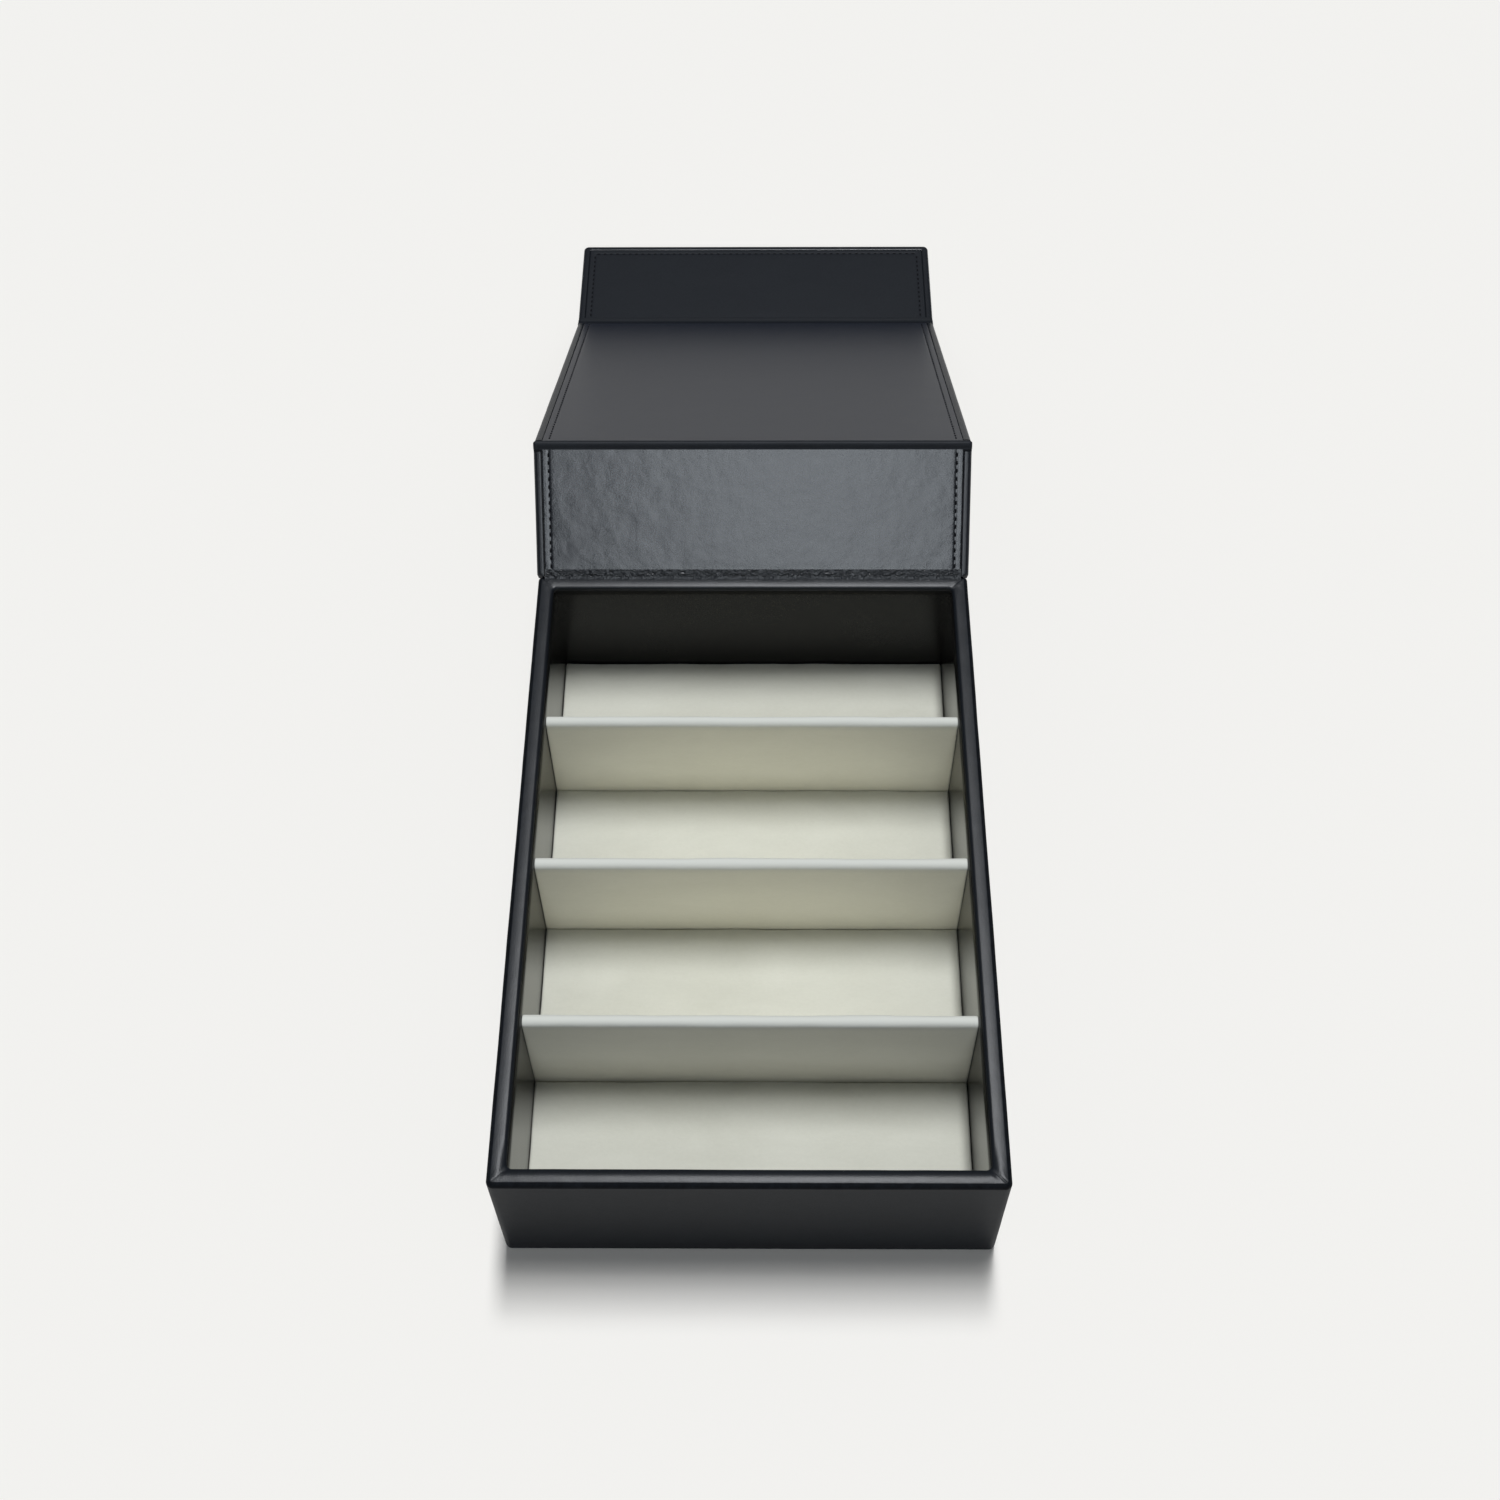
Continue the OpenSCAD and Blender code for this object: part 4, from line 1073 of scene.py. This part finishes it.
stitches("rear_panel_stitches", [(s * ROW, y, False) for s in (-1, 1) for y in sa], P0, TILT, "lid_rear", "lid_rear_stitching")
stitches("main_panel_stitches", [(s * ROW, y, False) for s in (-1, 1) for y in sb], P1, -SLOPE, "lid_main", "lid_main_stitching")
ends = row_places(-ROW, ROW)
stitches("front_flap_stitches", [(s * ROW, y, False) for s in (-1, 1) for y in sc_] + [(x, END_ROW, True) for x in ends],
         P2, 0.0, "flap", "flap_stitching")


def flap_skin():
    """Leather round three edges of the flap, turned over onto its inside on all three."""
    r = 1.6
    L = FLAP_LEN
    rows = []  # inset on the sides, inset at the end, z, corner radius, outer face
    for a in ((LIP + 0.02, Z_LIN), (LIP, Z_LIN + 0.3)):
        rows.append((a[0], a[0], a[1], 0.6, 1))
    for u, z in arc(LIP - 0.32, Z_IN - 0.32, 0.32, 0, 90, 3):
        rows.append((u, u, z, 0.6, 1))
    rows.append((LIP - 0.9, LIP - 0.9, Z_IN, 1.0, 1))
    for u, z in arc(r, Z_IN - r, r, 90, 180, 8):
        rows.append((u, u, z, 1.2 + 1.3 * (1 - u / r), 1))
    for u, z in arc(r, Z_OUT + r, r, 180, 270, 8):
        rows.append((u, u, z, 1.2 + 1.3 * (1 - u / r), 1))
    for k in range(1, 31):
        f = k / 30.0
        rows.append((r + (LX - r) * f, r + 46.0 * f, Z_OUT, 1.0, 1))
    for k in range(30, -1, -1):
        f = k / 30.0
        rows.append((1.0 + (LX - 1.0) * f, 1.0 + 46.5 * f, Z_BRD, 1.0, 0))
    rows.append((1.0, 1.0, Z_LIN - 0.01, 1.0, 0))
    n_side, n_arc, n_end = 22, 6, 60
    out = []
    for ux, uy, z, rc, on in rows:
        hx, ye = LX - ux, L - uy
        rc = min(rc, max(hx, 0.0) * 0.9, 2.5)
        pts = [(-hx, C0 + (ye - rc - C0) * v) for v in np.linspace(0, 1, n_side, endpoint=False)]
        pts += [(-hx + rc - rc * math.cos(a), ye - rc + rc * math.sin(a)) for a in np.linspace(0, math.pi / 2, n_arc, endpoint=False)]
        pts += [(-hx + rc + 2 * (hx - rc) * v, ye) for v in np.linspace(0, 1, n_end, endpoint=False)]
        pts += [(hx - rc + rc * math.sin(a), ye - rc + rc * math.cos(a)) for a in np.linspace(0, math.pi / 2, n_arc, endpoint=False)]
        pts += [(hx, ye - rc + (C0 - ye + rc) * v) for v in np.linspace(0, 1, n_side + 1)]
        out.append([(x, y, z) for x, y in pts])
    G = np.array(out)
    K, n = G.shape[:2]
    q = G + np.array([0, 300.0, 0])
    onm = np.array([row[4] for row in rows])[:, None]
    low = (G[..., 2] < Z_OUT + 0.1)
    d = 0.04 * noise(q, 24, 43) + 0.03 * noise(q, 7, 44)
    G[..., 2] += np.where(low & (onm > 0), 0.0, 0) + np.where((G[..., 2] > Z_IN - 0.2) & (onm > 0), np.minimum(d, 0.03), 0)
    # the outer and the inner face each close on the middle line, so no faces run between their last rows
    seam = max(k for k, row in enumerate(rows) if row[4] == 1)
    faces = [tuple(f) for f in quads(K, n, True, False).reshape(K, n - 1, 4)[[k for k in range(K) if k != seam]].reshape(-1, 4)]
    edge = np.exp(-(np.minimum(LX - np.abs(G[..., 0]), L - G[..., 1]) / 1.2) ** 2) * onm
    P = placed(G.reshape(-1, 3), P2, 0.0)
    return P, faces, edge.reshape(-1)


P_, F_, E_ = flap_skin()
skin = make("front_flap_skin", P_, F_, M_LIDSKIN, None, keep=True, edge=E_, weld=0.02)
bm = bmesh.new()
bm.from_mesh(skin.data)
open_edges = [e for e in bm.edges if e.is_boundary]
bmesh.ops.holes_fill(bm, edges=open_edges, sides=0)
bmesh.ops.recalc_face_normals(bm, faces=bm.faces)
if bm.calc_volume(signed=True) < 0:
    bmesh.ops.reverse_faces(bm, faces=bm.faces)
for f in bm.faces:
    f.smooth = True
bm.to_mesh(skin.data)
bm.free()
sharp(skin, 60)
settle(skin, "flap", ("flap_skin",))


# ------------------------------------------------------------------ hinge leathers
def folded(G, p, degrees, turn, reach):
    """Bends a flat strip at the hinge line. G: (x, along, up) before the fold; it turns by turn degrees over +-reach."""
    w = smooth((G[..., 1] + reach) / (2 * reach))
    a = np.radians(turn) * w
    c, s = np.cos(a), np.sin(a)
    y, z = G[..., 1] * c - G[..., 2] * s, G[..., 1] * s + G[..., 2] * c
    return placed(np.stack([G[..., 0], y, z], -1), p, degrees)


def strip_x():
    e = np.array([0, 0.08, 0.25, 0.5, 0.8, 1.2, 1.6])
    inner = np.linspace(-LX + 3.2, LX - 3.2, 110)
    return np.concatenate([-LX + e, inner, LX - e[::-1]])


def hinge_strip(name, p, degrees, turn, gap, top_gap, node, mat, amp, wrinkle):
    """The leather that joins two panels: lining side above, skin side below, and down over both boards' ends."""
    w = gap - 1.0   # outer face of the leather on the boards' ends
    r = 1.6
    up = []
    n = 26
    reach = top_gap - 0.03
    for s in np.linspace(-reach, reach, n):
        up.append((s, Z_IN - 0.02))
    lowr = [(reach, Z_LIN + 0.02), (gap - 0.02, Z_LIN), (gap - 0.02, Z_BRD), (gap - 0.01, Z_OUT)]
    lowr += arc(w + r, Z_OUT + r, r, -90 + 12, -180, 6)[0:]
    lowr += [(w, Z_OUT + r + 0.4), (w - 0.1, Z_IN - 2.1), (w - 0.5, Z_IN - 1.85)]
    low = lowr + [(s, Z_IN - 1.8) for s in np.linspace(w - 1.0, -(w - 1.0), 9)] + [(-s, z) for s, z in reversed(lowr)]
    loop = np.array(up + low)
    xs = strip_x()
    K, n = len(loop), len(xs)
    X = np.broadcast_to(xs[:, None], (n, K)).copy()
    S = np.broadcast_to(loop[:, 0], (n, K)).copy()
    Zp = np.broadcast_to(loop[:, 1], (n, K)).copy()
    # the ends of the strip are rounded like the panels' edges
    t = np.clip((np.abs(X) - (LX - 1.6)) / 1.6, 0, 1)
    round_ = 1.6 * (1 - np.sqrt(np.clip(1 - t * t, 0, 1)))
    mid = np.where(np.abs(S) < gap - 0.99, Z_IN - 0.9, (Z_IN + Z_OUT) / 2)
    half = np.abs(Zp - mid)
    lim = np.where(np.abs(S) < gap - 0.99, np.maximum(0.9 - round_ * 0.56, 0.02), np.maximum(2.15 - round_, 0.05))
    Zp = mid + np.sign(Zp - mid) * np.minimum(half, lim)
    topm = np.zeros(K)
    topm[:26] = 1
    inside = smooth((top_gap - 0.1 - np.abs(S)) / 1.2)
    q = np.stack([X, S * 4, np.full_like(X, p[0])], -1)
    fine = np.stack([X, S * 9, np.full_like(X, p[0])], -1)
    wr = amp * (0.6 * noise(q, 13, 61) + 0.5 * noise(fine, 6, 62)) + wrinkle * np.sin(S * 5.2 + 1.3 * noise(q, 20, 63)) * 0.5
    Zp = Zp + topm[None, :] * inside * (wr - abs(amp) * 0.5)
    G = np.stack([X, S, Zp], -1)
    P = folded(G, p, degrees, turn, w)
    faces = [tuple(f) for f in quads(n, K, False, True)]
    faces += [tuple(range(K)), tuple(range((n - 1) * K, n * K))]
    ob = make(name, P.reshape(-1, 3), faces, mat, None, weld=0.004, keep=True)
    sharp(ob, 60)
    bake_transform(ob)
    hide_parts(node)
    return ob


hinge_strip("ridge_leather", P1, TILT, -(TILT + SLOPE), 4.2, 3.3, "ridge_hinge_leather", M_HINGE, 0.05, 0.0)
hinge_strip("flap_fold_leather", P2, -SLOPE, SLOPE, 3.0, 3.0, "flap_hinge_leather", M_FOLD, 0.04, 0.02)


def rear_hinge():
    """Creased leather from the rim onto the foot of the rear panel."""
    d = np.array([math.cos(math.radians(TILT)), math.sin(math.radians(TILT))])
    nn = np.array([-d[1], d[0]])
    xe = LX - LIP - 0.12
    # centre line of the upper face, from the rim to the lining's edge
    path = [(130.62, 64.04), (130.72, 64.12), (131.0, 64.2), (131.35, 64.4), (131.75, 64.78)]
    path += [tuple(P0 + s * d + (Z_IN + 0.02) * nn) for s in np.linspace(1.9, 5.1, 26)]
    path = np.array(path)
    low = [tuple(P0 + s * d + (Z_LIN + 0.02) * nn) for s in np.linspace(5.1, 2.15, 8)]
    low += [(132.0, 64.06), (131.3, 64.02)]
    xs = np.concatenate([[-xe, -xe + 0.1, -xe + 0.3], np.linspace(-xe + 0.7, xe - 0.7, 960), [xe - 0.3, xe - 0.1, xe]])
    n, Kt = len(xs), len(path)
    K = Kt + len(low)
    P = np.zeros((n, K, 3))
    P[..., 0] = xs[:, None]
    loop = np.concatenate([path, np.array(low)])
    P[:, :, 1] = loop[None, :, 0]
    P[:, :, 2] = loop[None, :, 1]
    s = np.concatenate([[0.0], np.cumsum(np.linalg.norm(np.diff(path, axis=0), axis=1))])
    tan = np.gradient(path, axis=0)
    tan /= np.linalg.norm(tan, axis=1, keepdims=True)
    nm = np.column_stack([-tan[:, 1], tan[:, 0]])
    X = P[:, :Kt, 0]
    S = np.broadcast_to(s[None, :], X.shape)
    q = np.stack([X, S * 2.0, np.zeros_like(X)], -1)
    q2 = np.stack([X, S * 1.7, np.zeros_like(X) + 40], -1)
    h = 0.14 * noise(q, 0.95, 72) + 0.09 * noise(q2, 0.62, 73) + 0.03 * noise(q2, 9, 74)
    h = h * smooth((S - 0.5) / 0.9) * smooth((s[-1] - S) / 0.5) * smooth((xe - np.abs(X)) / 0.7)
    h = np.clip(h, -0.2, 0.2) - 0.06
    P[:, :Kt, 1] += nm[None, :, 0] * h
    P[:, :Kt, 2] += nm[None, :, 1] * h
    faces = [tuple(f) for f in quads(n, K, False, True)]
    faces += [tuple(range(K)), tuple(range((n - 1) * K, n * K))]
    ob = make("rear_hinge_strip", P.reshape(-1, 3), faces, M_CREASED, None, keep=True)
    sharp(ob, 70)
    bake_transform(ob)
    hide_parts("rear_hinge_leather")
    return ob


rear_hinge()

# ------------------------------------------------------------------ CAD nodes that stay
FINISH = {
    "bottom_sheet": M_BOTTOM, "base_board": M_BOARD,
    "front_wall": M_BOARD, "rear_wall": M_BOARD, "left_wall": M_BOARD, "right_wall": M_BOARD,
    "wall_magnets": M_MAGNET, "flap_magnets": M_MAGNET,
    "lid_rear_board": M_CARD, "lid_main_board": M_CARD, "flap_board": M_CARD,
}
for k in (1, 2, 3):
    FINISH["divider_%d_core" % k] = M_CARD
for k in (1, 2, 3, 4):
    FINISH["pad_%d_card" % k] = M_CARD
    FINISH["pad_%d_foam" % k] = M_FOAM
for node, mat in FINISH.items():
    for ob in bpy.data.objects:
        if ob.name == node or ob.get("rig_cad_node") == node:
            for s in ob.material_slots:
                s.material = mat
